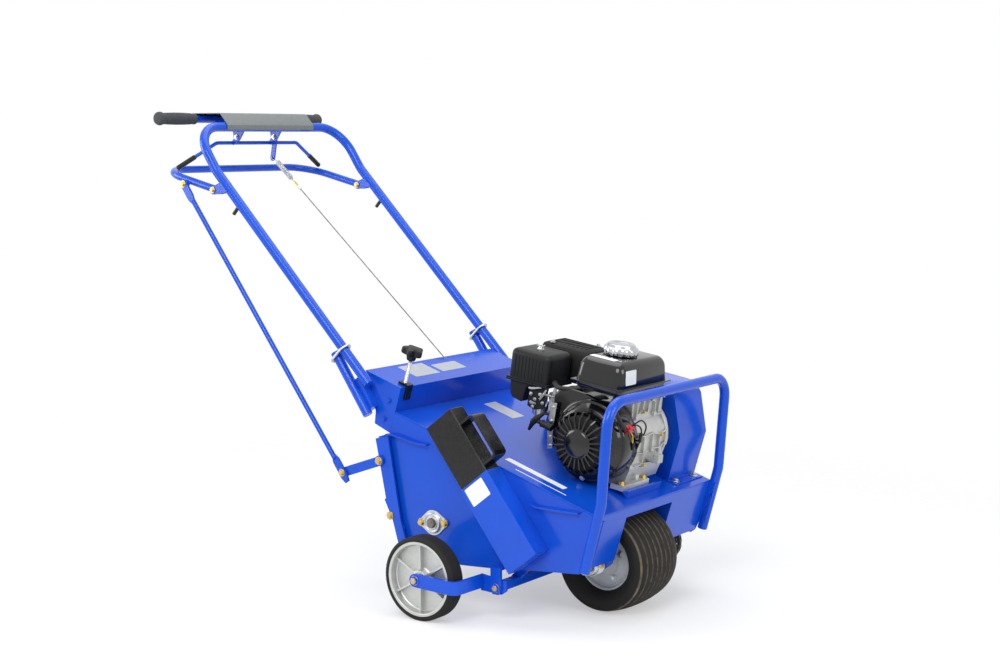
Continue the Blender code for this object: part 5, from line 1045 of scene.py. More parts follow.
def hoseOn(name, points, radius, steps, finish="blackSheath", slot="rubber"):
    return onEngine(name, sweep(smoothPath(points), roundSection(radius, steps)), finish, slot=slot,
        sharp=60)


def onCircle(radius, y, turns, way, drop=0.0):
    # bolt places on a circle about the crank, facing along it
    return [((radius * cos(t), y, radius * sin(t) - drop), (0, way, 0)) for t in turns]


tank = {"x0": -0.043, "x1": 0.09, "y0": -0.162, "y1": 0.058, "z0": 0.126, "z1": 0.205,
    "seam": 0.147}
bm = roundedBox(tank["x0"], tank["x1"], tank["y0"], tank["y1"], tank["z0"], tank["z1"], 0.021, 8)
mx, my = (tank["x0"] + tank["x1"]) / 2, (tank["y0"] + tank["y1"]) / 2
for v in bm.verts:
    rise = max(0.0, (v.co.z - tank["seam"]) / (tank["z1"] - tank["seam"]))
    pull = 1 - 0.13 * rise ** 1.3
    v.co.x = mx + (v.co.x - mx) * pull
    v.co.y = my + (v.co.y - my) * (1 - (1 - pull) * 0.6)
    v.co.z += 0.004 * rise * cos(pi * (v.co.y - my) / (tank["y1"] - tank["y0"]))  # slightly crowned
onEngine("tankShells", bm, "tankPaint", ("fuel_tank",), sharp=60)
onEngine("tankSeam", roundedBox(tank["x0"] - 0.004, tank["x1"] + 0.004, tank["y0"] - 0.004,
    tank["y1"] + 0.004, tank["seam"] - 0.0018, tank["seam"] + 0.0018, 0.0012, 3), "tankPaint",
    sharp=60)
cap = {"x": 0.014, "y": -0.055, "r": 0.043}
neck = [(tank["z1"] - 0.006, 0.0), (tank["z1"] - 0.006, 0.034), (tank["z1"] + 0.001, 0.0315),
    (tank["z1"] + 0.004, 0.029), (tank["z1"] + 0.004, 0.0)]
onEngine("tankNeck", turned(neck, (cap["x"], cap["y"], 0), 64, "Z"), "tankPaint", sharp=50)
capRings = ((0.2093, 0.0405, 0.0), (0.2095, 0.0415, 0.0022), (0.2112, 0.0428, 0.003),
    (0.22, 0.0428, 0.003), (0.224, 0.0415, 0.002), (0.2262, 0.0395, 0.0004), (0.227, 0.0365, 0.0),
    (0.229, 0.0352, 0.0), (0.2325, 0.0335, 0.0), (0.2342, 0.03, 0.0), (0.2342, 0.0215, 0.0),
    (0.233, 0.0205, 0.0), (0.233, 0.001, 0.0))


def capLobe(r, depth, t):
    return r - depth * (0.5 + 0.5 * cos(12 * t)) ** 3


onEngine("fuelCap", lobedShape(capRings, (cap["x"], cap["y"]), 144, capLobe), "chromePlate",
    ("fuel_cap",), body="tank_cap", sharp=38)

air = {"x0": -0.268, "x1": -0.15, "y0": -0.104, "y1": 0.0, "z0": 0.04, "seam": 0.094, "z1": 0.17}
onEngine("airCover", roundedBox(air["x0"], air["x1"], air["y0"], air["y1"], air["seam"] - 0.01,
    air["z1"], 0.015, 6), "mouldedBlack", ("air_cleaner",), sharp=60)
onEngine("airRim", joined(roundedBox(air["x0"] - 0.003, air["x1"] + 0.003, air["y0"] - 0.003,
    air["y1"] + 0.003, air["seam"] - 0.004, air["seam"] + 0.0005, 0.001, 2),
    roundedBox(air["x0"] - 0.0022, air["x1"] + 0.0022, air["y0"] - 0.0022, air["y1"] + 0.0022,
    air["seam"] + 0.001, air["seam"] + 0.0045, 0.001, 2)), "mouldedBlack", sharp=50)
base = [(air["x0"] + 0.004, air["seam"]), (air["x1"] - 0.003, air["seam"]),
    (air["x1"] - 0.004, air["seam"] - 0.006), (air["x0"] + 0.062, air["seam"] - 0.01),
    (air["x0"] + 0.054, air["seam"] - 0.018), (air["x0"] + 0.05, air["z0"] + 0.006),
    (air["x0"] + 0.044, air["z0"]), (air["x0"] + 0.016, air["z0"] + 0.006),
    (air["x0"] + 0.009, air["z0"] + 0.016)]
onEngine("airBase", prism(base, air["y0"] + 0.006, air["y1"] - 0.004), "mouldedBlack", bevel=0.005,
    steps=4)
grown("airCoverRibs", "barRow", {"Count": 9, "Start": (air["x0"] + 0.019, air["y0"] + 0.001, 0.128),
    "Step": (0.01, 0, 0), "Size": (0.0022, 0.004, 0.052)}, "mouldedBlack", "machine",
    points=[(0, 0, 0)], space=engineSpace, bevel=0.0006)
nutX, nutY = (air["x0"] + air["x1"]) / 2 - 0.006, (air["y0"] + air["y1"]) / 2
wings = [prism([(nutX + way * dx, z) for dx, z in ((0.003, 0.1745), (0.01, 0.1755), (0.0125, 0.18),
    (0.011, 0.183), (0.006, 0.1805), (0.003, 0.178))], nutY - 0.0016, nutY + 0.0016)
    for way in (-1, 1)]
onEngine("airWingNut", joined(turned([(0.1695, 0.0), (0.1695, 0.0095), (0.1712, 0.0095),
    (0.1714, 0.0062), (0.177, 0.005), (0.1775, 0.0)], (nutX, nutY, 0), 32, "Z"), *wings),
    "brightZinc", bevel=0.0006)

# What shows under the air cleaner: a control plate, the carburettor's throat and bowl, its
# choke arm, governor arm and return spring
carb = {"x": -0.184, "y": -0.072, "top": 0.08}
onEngine("controlPlate", prism([(-0.206, 0.086), (-0.152, 0.086), (-0.15, 0.06), (-0.16, 0.036),
    (-0.186, 0.028), (-0.207, 0.034)], -0.0935, -0.0915), "heatPaintAndShade", bevel=0.0005)
throat = turned([(0.038, 0.0), (0.038, 0.0135), (0.046, 0.015), (0.072, 0.015), (0.076, 0.0175),
    (carb["top"], 0.0175), (carb["top"], 0.0)], (carb["x"], carb["y"], 0), 40, "Z")
bowl = turned([(0.01, 0.0), (0.01, 0.005), (0.013, 0.0052), (0.0135, 0.012), (0.0165, 0.0175),
    (0.034, 0.0185), (0.0352, 0.0205), (0.038, 0.0205), (0.038, 0.0)], (carb["x"], carb["y"], 0),
    40, "Z")
onEngine("carbThroat", joined(throat, bowl), "machinedAluminium", bevel=0.0005)
arms = [prism([(-0.205, 0.079), (-0.203, 0.0835), (-0.196, 0.084), (-0.168, 0.0905),
    (-0.166, 0.087), (-0.195, 0.0785)], -0.1015, -0.099), prism([(-0.17, 0.056), (-0.166, 0.06),
    (-0.152, 0.084), (-0.155, 0.087), (-0.173, 0.06)], -0.0975, -0.0955),
    prism([(-0.201, 0.046), (-0.196, 0.05), (-0.18, 0.047), (-0.18, 0.043), (-0.197, 0.042)],
    -0.0975, -0.0955)]
onEngine("carbArms", joined(*arms), "brightZinc", bevel=0.0005)
boltsAt("carbScrews", [((x, -0.0937, z), (0, -1, 0)) for x, z in ((-0.199, 0.066), (-0.186, 0.055),
    (-0.163, 0.05), (-0.19, 0.035), (-0.172, 0.07))], "brightZinc", radius=0.0034, height=0.003,
    washer=0.0046, space=engineSpace)
coil = [(-0.16 + 0.00038 * k, -0.0985 + 0.0028 * cos(k * 0.9), 0.074 + 0.0028 * sin(k * 0.9))
    for k in range(90)]
onEngine("governorSpring", sweep(coil, roundSection(0.0006, 6)), "brightZinc", sharp=60)
hoseOn("breatherHose", [(-0.142, -0.078, 0.104), (-0.132, -0.1, 0.108), (-0.108, -0.113, 0.104),
    (-0.078, -0.112, 0.108), (-0.05, -0.1, 0.116)], 0.0058, 18)

muff = {"x0": -0.258, "x1": -0.112, "y0": 0.006, "y1": 0.11, "z0": 0.088, "z1": 0.178}
onEngine("mufflerCan", roundedBox(muff["x0"] + 0.01, muff["x1"] - 0.01, muff["y0"] + 0.01,
    muff["y1"] - 0.008, muff["z0"] + 0.006, muff["z1"] - 0.014, 0.02, 6), "heatPaintAndShade", sharp=60)
dressNode("muffler_guard", "heatPaintAndShade", 0.0006)
grown("mufflerRear", "barRow", {"Count": 7, "Start": (muff["x0"] + 0.0006, muff["y0"] + 0.02,
    0.133), "Step": (0, 0.0108, 0), "Size": (0.0016, 0.005, 0.05)}, "heatPaintAndShade", "machine",
    points=[(0, 0, 0)], space=engineSpace, bevel=0.0005)
boltsAt("mufflerBolts", [((muff["x0"] + 0.03, muff["y0"] + 0.014, muff["z1"] - 0.0006), (0, 0, 1)),
    ((muff["x1"] - 0.03, muff["y1"] - 0.014, muff["z1"] - 0.0006), (0, 0, 1))], "brightZinc",
    radius=0.005, height=0.0035, washer=0.0068, space=engineSpace)

# Blower housing: a drum about the crank that runs out over the cylinder
fan = {"r": 0.1, "y0": -0.128, "y1": -0.064}
drumSide = slid([(-0.014, 0.0), (-0.014, 0.0795), (-0.0125, 0.0815), (-0.004, 0.088),
    (0.001, 0.0915), (0.0012, 0.0955), (0.0035, 0.0988), (0.007, fan["r"])], fan["y0"])
drumSide += [(fan["y1"] - 0.001, fan["r"]), (fan["y1"], 0.0992), (fan["y1"], 0.0)]
onEngine("blowerDrum", turned(drumSide, (0, 0, 0), 96), "tankPaint", ("fan_cover",), "black_paint",
    sharp=40)
shroud = [(-0.01, 0.06), (0.01, 0.1), (-0.02, 0.1075), (-0.075, 0.112), (-0.1, 0.106),
    (-0.116, 0.09), (-0.12, 0.03), (-0.112, 0.008), (-0.1, -0.01), (-0.06, -0.04)]
onEngine("blowerShroud", prism(shroud, fan["y0"] + 0.01, fan["y1"]), "tankPaint",
    slot="black_paint", bevel=0.006, steps=5)
deflector = [(-0.116, 0.068), (-0.0985, 0.07), (-0.1012, 0.02), (-0.101, -0.01), (-0.0968, -0.042),
    (-0.111, -0.046), (-0.1165, -0.01), (-0.118, 0.03)]
leaf = [(-0.118, 0.03), (-0.116, 0.068), (-0.1146, 0.068), (-0.1166, 0.03), (-0.1151, -0.01),
    (-0.1096, -0.046), (-0.111, -0.046), (-0.1165, -0.01)]
onEngine("airDeflector", joined(prism(deflector, -0.1292, -0.128), prism(leaf, -0.1282, -0.076)),
    "machinedAluminium", bevel=0.0004)
boltsAt("deflectorScrews", [((x, -0.1293, z), (0, -1, 0)) for x, z in ((-0.1085, 0.058),
    (-0.1095, 0.024), (-0.108, -0.014), (-0.1045, -0.036))], "brightZinc", radius=0.0026,
    height=0.0022, washer=0.0034, space=engineSpace)
boltsAt("blowerBolts", onCircle(0.0925, fan["y0"] + 0.0015,
    [radians(a) for a in (40, -35, 215, 150)], -1), "tankPaint", radius=0.0045, height=0.0045,
    washer=0.007, space=engineSpace)
boltsAt("blowerLowBolt", onCircle(0.0905, fan["y0"] + 0.0012, [radians(268)], -1), "brightZinc",
    radius=0.0055, height=0.0045, washer=0.0075, space=engineSpace)

# Starter housing: rim, hub and the bars between its slots
recoil = {"face": -0.18, "back": -0.1423, "r": 0.0745, "slots": 24}
rimProfile = [(recoil["back"], recoil["r"]), (recoil["face"] + 0.025, recoil["r"]),
    (recoil["face"] + 0.0236, 0.0738), (recoil["face"] + 0.0236, 0.0716), (recoil["back"], 0.071)]
hubProfile = slid([(0, 0.0), (0, 0.029), (0.0006, 0.0306), (0.002, 0.0322), (0.0028, 0.0362),
    (0.0058, 0.0362), (0.0058, 0.0)], recoil["face"])
onEngine("starterRim", joined(turned(rimProfile, (0, 0, 0), 96), turned(hubProfile, (0, 0, 0), 96)),
    "tankPaint", ("recoil_grille",), "plastic", sharp=40)
# each bar runs out from the hub, over the shoulder and back to the rim
for label, ringRadius, length, drop, tip in (("Face", 0.0461, 0.03, 0.0, 0),
        ("Shoulder", 0.0665, 0.0148, 0.0045, 39), ("Side", 0.0727, 0.0145, 0.0155, 86)):
    barPlace = Matrix.Translation((0, recoil["face"] + 0.0046 + drop, 0))
    barSpace = engineSpace @ barPlace @ Matrix.Rotation(pi / 2, 4, "X")
    grown("starterBars" + label, "barRing", {"Count": recoil["slots"], "Ring radius": ringRadius,
        "Length": length, "Width": 0.0046, "Depth": 0.0034, "Tilt": radians(tip)}, "tankPaint",
        "machine", points=[(0, 0, 0)], space=barSpace, bevel=0.0007, slot="plastic")
# the drum behind the slots is painted dead black as painted shade: it stands for the dark inside of
# the housing, seen through the slots
onEngine("starterDrumPaintedShade", turned([(recoil["back"], 0.0), (recoil["back"], 0.066),
    (recoil["face"] + 0.018, 0.066), (recoil["face"] + 0.016, 0.062),
    (recoil["face"] + 0.016, 0.0)], (0, 0, 0), 64), "heatPaintAndShade", sharp=40)
boltsAt("starterBolts", onCircle(0.0775, -0.1425, [radians(a) for a in (85, 205, 325)], -1),
    "heatPaintAndShade", radius=0.0042, height=0.0042, washer=0.006, space=engineSpace)

# Pull grip, and the guide that its stem sits in
ropeWay = Vector((-0.978, 0.0, 0.207)).normalized()
gripAt = Vector((-0.146, -0.142, 0.02))
bar = rounded([gripAt + Vector((-0.016, 0.001, -0.029)), gripAt + Vector((-0.001, -0.003, 0)),
    gripAt + Vector((0.024, 0.001, 0.022))], 0.05, 10)
count = len(bar)
onEngine("pullGrip",
    joined(sweep(bar,
    lambda i: roundSection(0.0078 * (1 - 0.55 * abs(2 * i / (count - 1) - 1) ** 6), 24)),
    sweep([gripAt, gripAt - ropeWay * 0.01, gripAt - ropeWay * 0.02],
    lambda i: roundSection((0.0068, 0.006, 0.005)[i], 24))), "mouldedBlack", ("starter_grip",),
    body="pull_grip", bevel=0.0005, sharp=50)
onEngine("ropeGuide", turned([(-0.03, 0.0), (-0.03, 0.0085), (-0.004, 0.0085), (-0.002, 0.0098),
    (0.0, 0.0098), (0.0, 0.006), (-0.003, 0.005), (-0.003, 0.0)], (0, 0, 0), 32, "X"),
    "mouldedBlack", sharp=45).data.transform(engineSpace
    @ Matrix.Translation(gripAt - ropeWay * 0.0205)
    @ ropeWay.to_track_quat("X", "Z").to_matrix().to_4x4() @ engineSpace.inverted())

# Crankcase details: flange, standing walls, bosses and bolts, spark lead, hose and switch wires
arc = [(0.092 * cos(radians(t)), 0.092 * sin(radians(t))) for t in range(-12, 106, 4)]
flange = arc + [(-0.05, 0.074), (-0.074, 0.046), (-0.078, -0.05), (-0.064, -0.08), (0.07, -0.082),
    (0.08, -0.056)]
onEngine("coverFlange", prism(flange, 0.0785, 0.0865), "castAluminium", bevel=0.0012)
lip = [(x * 0.965, 0.088, z * 0.965) for x, z in arc]
onEngine("coverLip", sweep(lip, flatSection(0.005, 0.006), side=(0, 1, 0)), "castAluminium",
    bevel=0.0008)
upper = [(0.052, 0.052), (0.066, 0.05), (0.07, 0.06), (0.069, 0.108), (0.058, 0.1195),
    (0.02, 0.1195), (0.02, 0.052)]
onEngine("upperCase", prism(upper, -0.058, 0.08), "castAluminium", bevel=0.003, steps=3)
# walls that stand on the casting's front, each a path in (across, up)
walls = {0.073: [[(-0.05, 0.058), (-0.046, 0.112)], [(-0.05, 0.112), (-0.02, 0.104),
    (-0.012, 0.112), (0.03, 0.112)], [(-0.02, 0.104), (-0.024, 0.078), (-0.048, 0.07)],
    [(-0.024, 0.078), (0.002, 0.07), (0.006, 0.1), (-0.012, 0.112)], [(0.006, 0.094), (0.02, 0.1),
    (0.034, 0.094), (0.036, 0.066)], [(0.036, 0.066), (0.052, 0.06), (0.074, 0.062)],
    [(0.052, 0.06), (0.056, 0.108)], [(0.03, 0.112), (0.056, 0.108), (0.076, 0.1)]],
    0.088: [[(-0.05, 0.024), (-0.022, 0.018), (-0.018, -0.05)], [(-0.022, 0.018), (0.016, 0.022),
    (0.02, -0.04)], [(0.016, 0.022), (0.05, 0.014), (0.054, -0.036)],
    [(-0.05, -0.02), (-0.018, -0.024)], [(0.02, -0.016), (0.054, -0.02), (0.076, -0.01)],
    [(0.05, 0.014), (0.076, 0.02)], [(-0.05, -0.052), (-0.018, -0.05), (0.02, -0.052)]]}
strips = [sweep([Vector((at, y, z)) for y, z in line], flatSection(0.0085, 0.003), side=(1, 0, 0))
    for at, lines in walls.items() for line in lines]
onEngine("caseWalls", joined(*strips), "castAluminium", bevel=0.0007)
bosses = {0.07: [(-0.049, 0.113), (0.03, 0.112), (-0.024, 0.077), (0.056, 0.108), (0.036, 0.064)],
    0.084: [(-0.05, 0.024), (0.05, 0.014), (-0.018, -0.052), (0.054, -0.038)]}
onEngine("caseBosses", joined(*[turned([(at, 0.0), (at, 0.0072), (at + 0.0085, 0.006),
    (at + 0.009, 0.0)], (0, y, z), 20, "X") for at, places in bosses.items() for y, z in places]),
    "castAluminium", bevel=0.0005)
boltsAt("caseBolts", [((at + 0.009, y, z), (1, 0, 0)) for at, places in bosses.items()
    for y, z in places[:3]], "yellowZinc", radius=0.0044, height=0.0036, washer=0.0056,
    space=engineSpace)
boltsAt("flangeBolts", onCircle(0.085, 0.0905, [radians(a) for a in (-4, 30, 64, 98)], 1),
    "yellowZinc", radius=0.0046, height=0.0042, washer=0.006, space=engineSpace)
boltsAt("coverBolts", onCircle(0.07, 0.0865, [2 * pi * k / 6 + 0.3 for k in range(6)], 1, 0.004),
    "yellowZinc", radius=0.005, height=0.0045, washer=0.0065, space=engineSpace)
boltsAt("engineFootBolts", [((0.08, y, -0.0933), (0, 0, 1)) for y in (-0.084, 0.014)], "yellowZinc",
    radius=0.0075, height=0.006, washer=0.011, space=engineSpace)
onEngine("caseNose", turned([(-0.064, 0.0), (-0.064, 0.058), (-0.05, 0.058), (-0.046, 0.052),
    (-0.046, 0.0)], (0.022, 0, -0.004), 64), "castAluminium", bevel=0.0006)
hoseOn("sparkLead", [(-0.15, -0.03, 0.062), (-0.166, -0.052, 0.05), (-0.15, -0.094, 0.03),
    (-0.126, -0.112, 0.036), (-0.112, -0.105, 0.05)], 0.0034, 14)
hoseOn("fuelHose", [(0.062, -0.136, 0.128), (0.068, -0.146, 0.11), (0.084, -0.15, 0.086),
    (0.096, -0.138, 0.06), (0.096, -0.118, 0.048), (0.084, -0.106, 0.04)], 0.0046, 16)
wires = {"Yellow": ("yellowSheath", [(0.092, -0.104, 0.046), (0.1, -0.097, 0.034),
    (0.101, -0.093, 0.014), (0.098, -0.086, -0.004), (0.092, -0.078, -0.02)]),
    "Black": ("blackSheath", [(0.092, -0.1, 0.052), (0.102, -0.086, 0.058), (0.106, -0.07, 0.046),
    (0.103, -0.064, 0.02), (0.098, -0.066, -0.004), (0.09, -0.06, -0.018)]), "Loop": ("blackSheath",
    [(0.094, -0.094, 0.056), (0.104, -0.072, 0.068), (0.106, -0.05, 0.052), (0.1, -0.044, 0.03),
    (0.09, -0.046, 0.018)])}
for label, (finish, points) in wires.items():
    hoseOn("switchWire" + label, points, 0.0016 if label == "Yellow" else 0.0019, 10, finish,
        "plastic")
sleeves = [sweep(ends, roundSection(radius, 14)) for radius, ends in ((0.004,
    [(0.102, -0.092, 0.016), (0.0995, -0.088, -0.002)]), (0.0044, [(0.1045, -0.066, 0.036),
    (0.1025, -0.064, 0.014)]))]
onEngine("wireSleeves", joined(*sleeves), "blackSheath", bevel=0.0008)
onEngine("oilPlug", turned([(0.0, 0.0), (0.0, 0.0075), (0.005, 0.0075), (0.005, 0.0)],
    (0.085, -0.03, -0.082), 6, "X"), "brightZinc", bevel=0.0006)
print("engine made")

# Knob, bearings, bolts and bare plates
lean = radians(17.3)


def tilt(s, h):
    return 0.415 - s * cos(lean) + h * sin(lean), 0.28 + s * sin(lean) + h * cos(lean)


knobX, knobZ = tilt(0.6365, 0.0655)
knobPlace = Matrix.Translation((knobX, -0.232, knobZ))
knobSpace = machineSpace @ knobPlace @ Matrix.Rotation(lean, 4, "Y")
knobRings = ((0.078, 0.0205, 0.003), (0.079, 0.0222, 0.004), (0.082, 0.0236, 0.0046),
    (0.092, 0.0236, 0.0046), (0.095, 0.0222, 0.004), (0.0962, 0.0195, 0.0022),
    (0.0975, 0.015, 0.0006), (0.0985, 0.012, 0.0), (0.0988, 0.008, 0.0))
star = lobedShape(knobRings, (0, 0), 80, lambda r, depth, t: r + depth * cos(5 * t))
collar = turned([(0.064, 0.0), (0.064, 0.0095), (0.067, 0.0115), (0.079, 0.0135), (0.079, 0.0)],
    (0, 0, 0), 40, "Z")
makePiece("starKnob", joined(star, collar), "mouldedBlack", "clamp_knob", ("adjust_knob",),
    "black_paint", knobSpace, sharp=38)
thread = [(0.0, 0.0), (0.0, 0.0044)]
for k in range(44):
    thread += [(0.0007 + k * 0.0015, 0.0044), (0.0014 + k * 0.0015, 0.005)]
thread += [(0.0672, 0.0044), (0.0672, 0.0)]
makePiece("knobStud", turned(thread, (0, 0, 0), 24, "Z"), "brightZinc", "clamp_knob",
    space=knobSpace, sharp=60)

# the side plates' outer face, and how far each flange is turned on it
near, bearingTurn = 0.2623, radians(5)
for sign, side in ((-1, "right"), (1, "left")):
    flange = []
    for k in range(96):
        t = 2 * pi * k / 96
        if 0.031 > 0.0355 * abs(cos(t)) + 0.0085:
            u, v = 0.031 * cos(t), 0.031 * sin(t)
        else:
            u, v = (0.0355 if cos(t) > 0 else -0.0355) + 0.0085 * cos(t), 0.0085 * sin(t)
        flange.append((reelX + u * cos(bearingTurn) - v * sin(bearingTurn),
            reelZ + u * sin(bearingTurn) + v * cos(bearingTurn)))
    plate = prism(flange, -near - 0.0035, -near)
    dome = turned(slid([(-0.003, 0.0), (-0.003, 0.0275), (-0.0045, 0.027), (-0.006, 0.0252),
        (-0.0088, 0.0245), (-0.01, 0.023), (-0.01, 0.0205), (-0.0084, 0.0195), (-0.0084, 0.0165),
        (-0.0104, 0.016), (-0.0104, 0.0125), (-0.009, 0.0122), (-0.009, 0.0)], -near),
        (reelX, 0, reelZ), 56)
    makePiece("flangeBearing_" + side, sideOf(sign, joined(plate, dome)), "brightZinc",
        replaces=("reel_bearing_" + side,), bevel=0.0006)
    boltsAt("bearingBolts_" + side, [((reelX + way * 0.036 * cos(bearingTurn),
        sign * (near + 0.0035), reelZ + way * 0.036 * sin(bearingTurn)), (0, sign, 0))
        for way in (-1, 1)], "yellowZinc", radius=0.0078, height=0.0055, washer=0.01)
    makePiece("reelNut_" + side, turned([(sign * (near + 0.0088), 0.0),
        (sign * (near + 0.0088), 0.0115), (sign * (near + 0.0155), 0.0115),
        (sign * (near + 0.0155), 0.0)], (reelX, 0, reelZ), 6), "oiledSteel", "tine_reel",
        bevel=0.0008)


def bothFaces(*places):
    return [((x, sign * y, z), (0, sign, 0)) for sign in (-1, 1) for x, y, z in places]


boltsAt("plateBolts", bothFaces((-0.186, 0.2768, 0.207), (0.16, 0.3082, 0.085)))
boltsAt("leverBolts", bothFaces((-0.216, 0.283, 0.342)), body="lifting_lever", radius=0.0085)
boltsAt("hubBolts", bothFaces((0, 0.4135, rearZ)), body="carriage", radius=0.0085, height=0.0055,
    washer=0.0115)
boltsAt("beltGuardBolts", [((tilt(0.034, 0.0033)[0], y, tilt(0.034, 0.0033)[1]),
    (sin(lean), 0, cos(lean))) for y in (0.14, 0.229)], "brightZinc")
boxPlaces = [tilt(0.65, h) for h in (0.02, -0.03)]
boltsAt("boxBolts", bothFaces(*[(x, 0.262, z) for x, z in boxPlaces]), "bluePowderCoat",
    radius=0.006, height=0.004, washer=0.008)


def barePlate(name, centre, across, along, width, height, finish, corner=0.004, thick=0.0004,
        space=machineSpace):
    # a thin plain plate on a flat face, with rounded corners
    u, v = Vector(across).normalized(), Vector(along).normalized()
    n = u.cross(v).normalized()
    points = []
    for cx, cy, start in ((1, 1, 0), (-1, 1, 1), (-1, -1, 2), (1, -1, 3)):
        for k in range(7):
            t = (start + k / 6) * pi / 2
            points.append(u * (cx * (width / 2 - corner) + corner * cos(t))
                + v * (cy * (height / 2 - corner) + corner * sin(t)))
    bm = bmesh.new()
    low = [bm.verts.new(Vector(centre) + p + n * 0.00008) for p in points]
    high = [bm.verts.new(Vector(centre) + p + n * thick) for p in points]
    bm.faces.new(low)
    bm.faces.new(high)
    for i in range(len(points)):
        j = (i + 1) % len(points)
        bm.faces.new((low[i], low[j], high[j], high[i]))
    return makePiece(name, bm, finish, space=space)


backward = (-cos(lean), 0, sin(lean))


def onDeck(s, y, h=0.0):
    x, z = tilt(s, h)
    return x, y, z


barePlate("boxPlateWide", onDeck(0.696, -0.104, 0.0643), (0, 1, 0), backward, 0.098, 0.066,
    "greyFoil")
barePlate("boxPlateSmall", onDeck(0.688, 0.01, 0.0643), (0, 1, 0), backward, 0.1, 0.044, "greyFoil")
barePlate("deckPlate", onDeck(0.524, 0.066), (0, 1, 0), backward, 0.05, 0.098, "greyFoil", 0.003)
barePlate("deckStripe", onDeck(0.224, -0.203), (0, 1, 0), backward, 0.02, 0.176, "whiteVinyl",
    0.003)
barePlate("deckLine", onDeck(0.186, -0.236), (0, 1, 0), backward, 0.0032, 0.15, "whiteVinyl", 0.001)
pocketFace = -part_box("weight_pocket_right")[0][1]
pocketSlope, pocketSquare = radians(52), radians(38)
pocketWay = Vector((cos(pocketSlope), 0, -sin(pocketSlope)))
barePlate("pocketPlate", (0.113, -pocketFace, 0.31), (-cos(pocketSquare), 0, -sin(pocketSquare)),
    pocketWay, 0.062, 0.046, "whiteVinyl", 0.003)
barePlate("tankEndPlate", (0.0876, -0.118, 0.1735), (0, 1, 0), (-0.125, 0, 1), 0.046, 0.034,
    "whiteVinyl", 0.003, 0.0006, space=engineSpace)
barePlate("tankTopPlate", (0.014, -0.1262, 0.2062), (1, 0, 0), (0, 1, 0), 0.07, 0.022, "whiteVinyl",
    0.003, 0.0006, space=engineSpace)
print("small parts made")


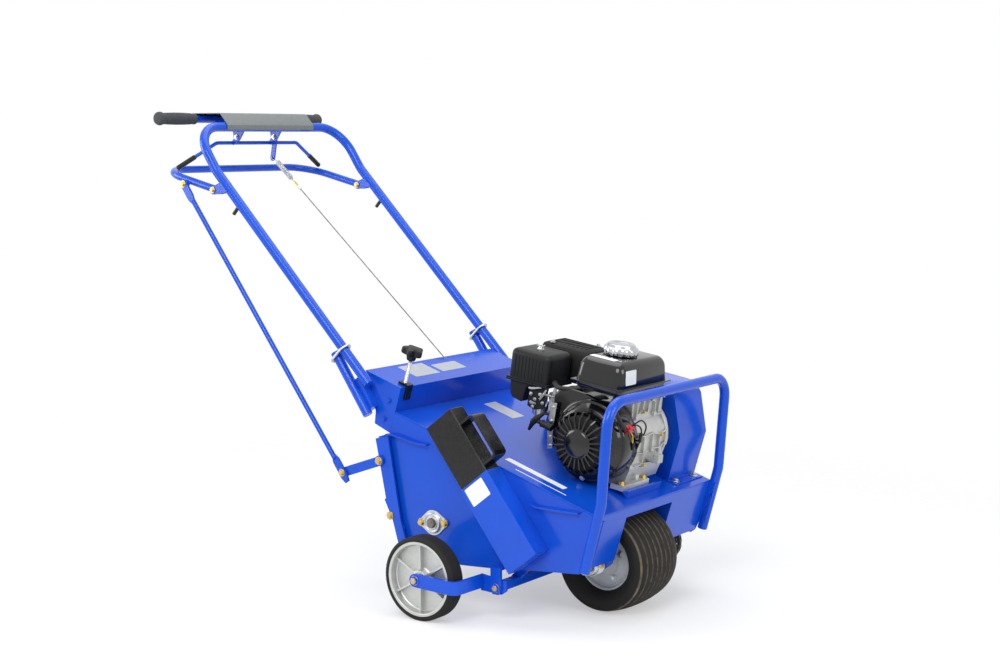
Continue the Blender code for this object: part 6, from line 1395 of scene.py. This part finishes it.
def makeStage():
    floorMesh = bpy.data.meshes.new("studioFloor")
    floorMesh.from_pydata([(-9, -9, 0), (9, -9, 0), (9, 9, 0), (-9, 9, 0)], [], [(0, 1, 2, 3)])
    floor = bpy.data.objects.new("studioFloor", floorMesh)
    bpy.context.scene.collection.objects.link(floor)
    # matt white paper that melts into the white behind it, so that only the shadow shows
    paper = bpy.data.materials.new("paperSweep")
    paper.use_nodes = True
    tree = paper.node_tree
    shader = tree.nodes["Principled BSDF"]
    shader.inputs["Base Color"].default_value = linear("#F4F4F4")
    shader.inputs["Roughness"].default_value = 0.9
    place = addNode(tree, "ShaderNodeTexCoord").outputs["Object"]
    fade = ramp(tree, vectorMaths(tree, "LENGTH", {0: place}, "Value"), 0.9, 2.3,
        interpolation_type="SMOOTHSTEP")
    clear = addNode(tree, "ShaderNodeBsdfTransparent")
    # a share of plain white for the camera keeps the shadow light, as on lit paper
    rays = addNode(tree, "ShaderNodeLightPath")
    share = maths(tree, "MULTIPLY", rays.outputs["Is Camera Ray"], 0.42)
    glow = addNode(tree, "ShaderNodeEmission", {"Color": (1.0, 1.0, 1.0, 1.0), "Strength": 1.0})
    sheet = addNode(tree, "ShaderNodeMixShader", {0: share, 1: shader.outputs[0],
        2: glow.outputs[0]})
    both = addNode(tree, "ShaderNodeMixShader", {0: fade, 1: sheet.outputs[0], 2: clear.outputs[0]})
    tree.links.new(both.outputs[0], tree.nodes["Material Output"].inputs["Surface"])
    floorMesh.materials.append(paper)

    world = bpy.data.worlds.new("studio")
    bpy.context.scene.world = world
    world.use_nodes = True
    tree = world.node_tree
    rays = addNode(tree, "ShaderNodeLightPath")
    backdrop = tree.nodes["Background"]
    backdrop.inputs["Color"].default_value = (0.8, 0.82, 0.85, 1.0)
    backdrop.inputs["Strength"].default_value = 0.5
    white = addNode(tree, "ShaderNodeBackground", {"Color": (1.0, 1.0, 1.0, 1.0), "Strength": 1.0})
    shiny = maths(tree, "MAXIMUM", rays.outputs["Is Camera Ray"], rays.outputs["Is Glossy Ray"])
    seen = maths(tree, "MAXIMUM", shiny, rays.outputs["Is Transmission Ray"])
    chosen = addNode(tree, "ShaderNodeMixShader", {0: seen, 1: backdrop.outputs[0],
        2: white.outputs[0]})
    tree.links.new(chosen.outputs[0], tree.nodes["World Output"].inputs["Surface"])

    lamps = {
        "keySoftbox": {"at": (1.2, -3.6, 3.4), "size": 2.6, "power": 125, "aim": (0.1, 0, 0.5)},
        "sideSoftbox": {"at": (-3.4, -2.0, 1.8), "size": 2.2, "power": 75, "aim": (0, 0, 0.5)},
        "frontSoftbox": {"at": (4.0, -0.2, 1.9), "size": 2.0, "power": 55, "aim": (0.2, 0, 0.4)},
        "topSoftbox": {"at": (-0.2, 0.6, 4.0), "size": 3.2, "power": 70, "aim": (0, 0, 0.3)},
    }
    for name, lamp in lamps.items():
        data = bpy.data.lights.new(name, "AREA")
        data.shape = "SQUARE"
        data.size = lamp["size"]
        data.energy = lamp["power"]
        light = bpy.data.objects.new(name, data)
        light.location = lamp["at"]
        way = Vector(lamp["aim"]) - Vector(lamp["at"])
        light.rotation_euler = way.to_track_quat("-Z", "Y").to_euler()
        bpy.context.scene.collection.objects.link(light)

    view = {"at": (2.70335, -3.4504, 1.1424), "azimuth": radians(35.885), "down": radians(6.64),
        "lens": 60.95}
    cameraData = bpy.data.cameras.new("camera")
    cameraData.lens = view["lens"]
    cameraData.sensor_width = 36.0
    camera = bpy.data.objects.new("camera", cameraData)
    camera.location = view["at"]
    way = Vector((-sin(view["azimuth"]) * cos(view["down"]),
        cos(view["azimuth"]) * cos(view["down"]), -sin(view["down"])))
    camera.rotation_euler = way.to_track_quat("-Z", "Y").to_euler()
    bpy.context.scene.collection.objects.link(camera)
    bpy.context.scene.camera = camera
    bpy.context.scene.view_settings.view_transform = "Standard"


makeStage()
dressNode("rear_box", "bluePowderCoat")
hood = [(-0.8198, 1.1575), (-0.819, 1.164), (-0.8195, 1.17), (-0.823, 1.1755), (-0.844, 1.1985),
    (-0.8475, 1.2012), (-0.852, 1.2026), (-0.943, 1.2026), (-0.9485, 1.2), (-0.9515, 1.195),
    (-0.952, 1.18)]
inner = []
for k, (x, z) in enumerate(hood):
    ax, az = hood[max(0, k - 1)]
    bx, bz = hood[min(len(hood) - 1, k + 1)]
    run = hypot(bx - ax, bz - az)
    inner.append((x - (bz - az) / run * 0.002, z + (bx - ax) / run * 0.002))
makePiece("consoleHood", prism(hood + inner[::-1], -0.18, 0.16), "greySheet",
    replaces=("console_plate",), bevel=0.0006, sharp=25)
print("stage set")
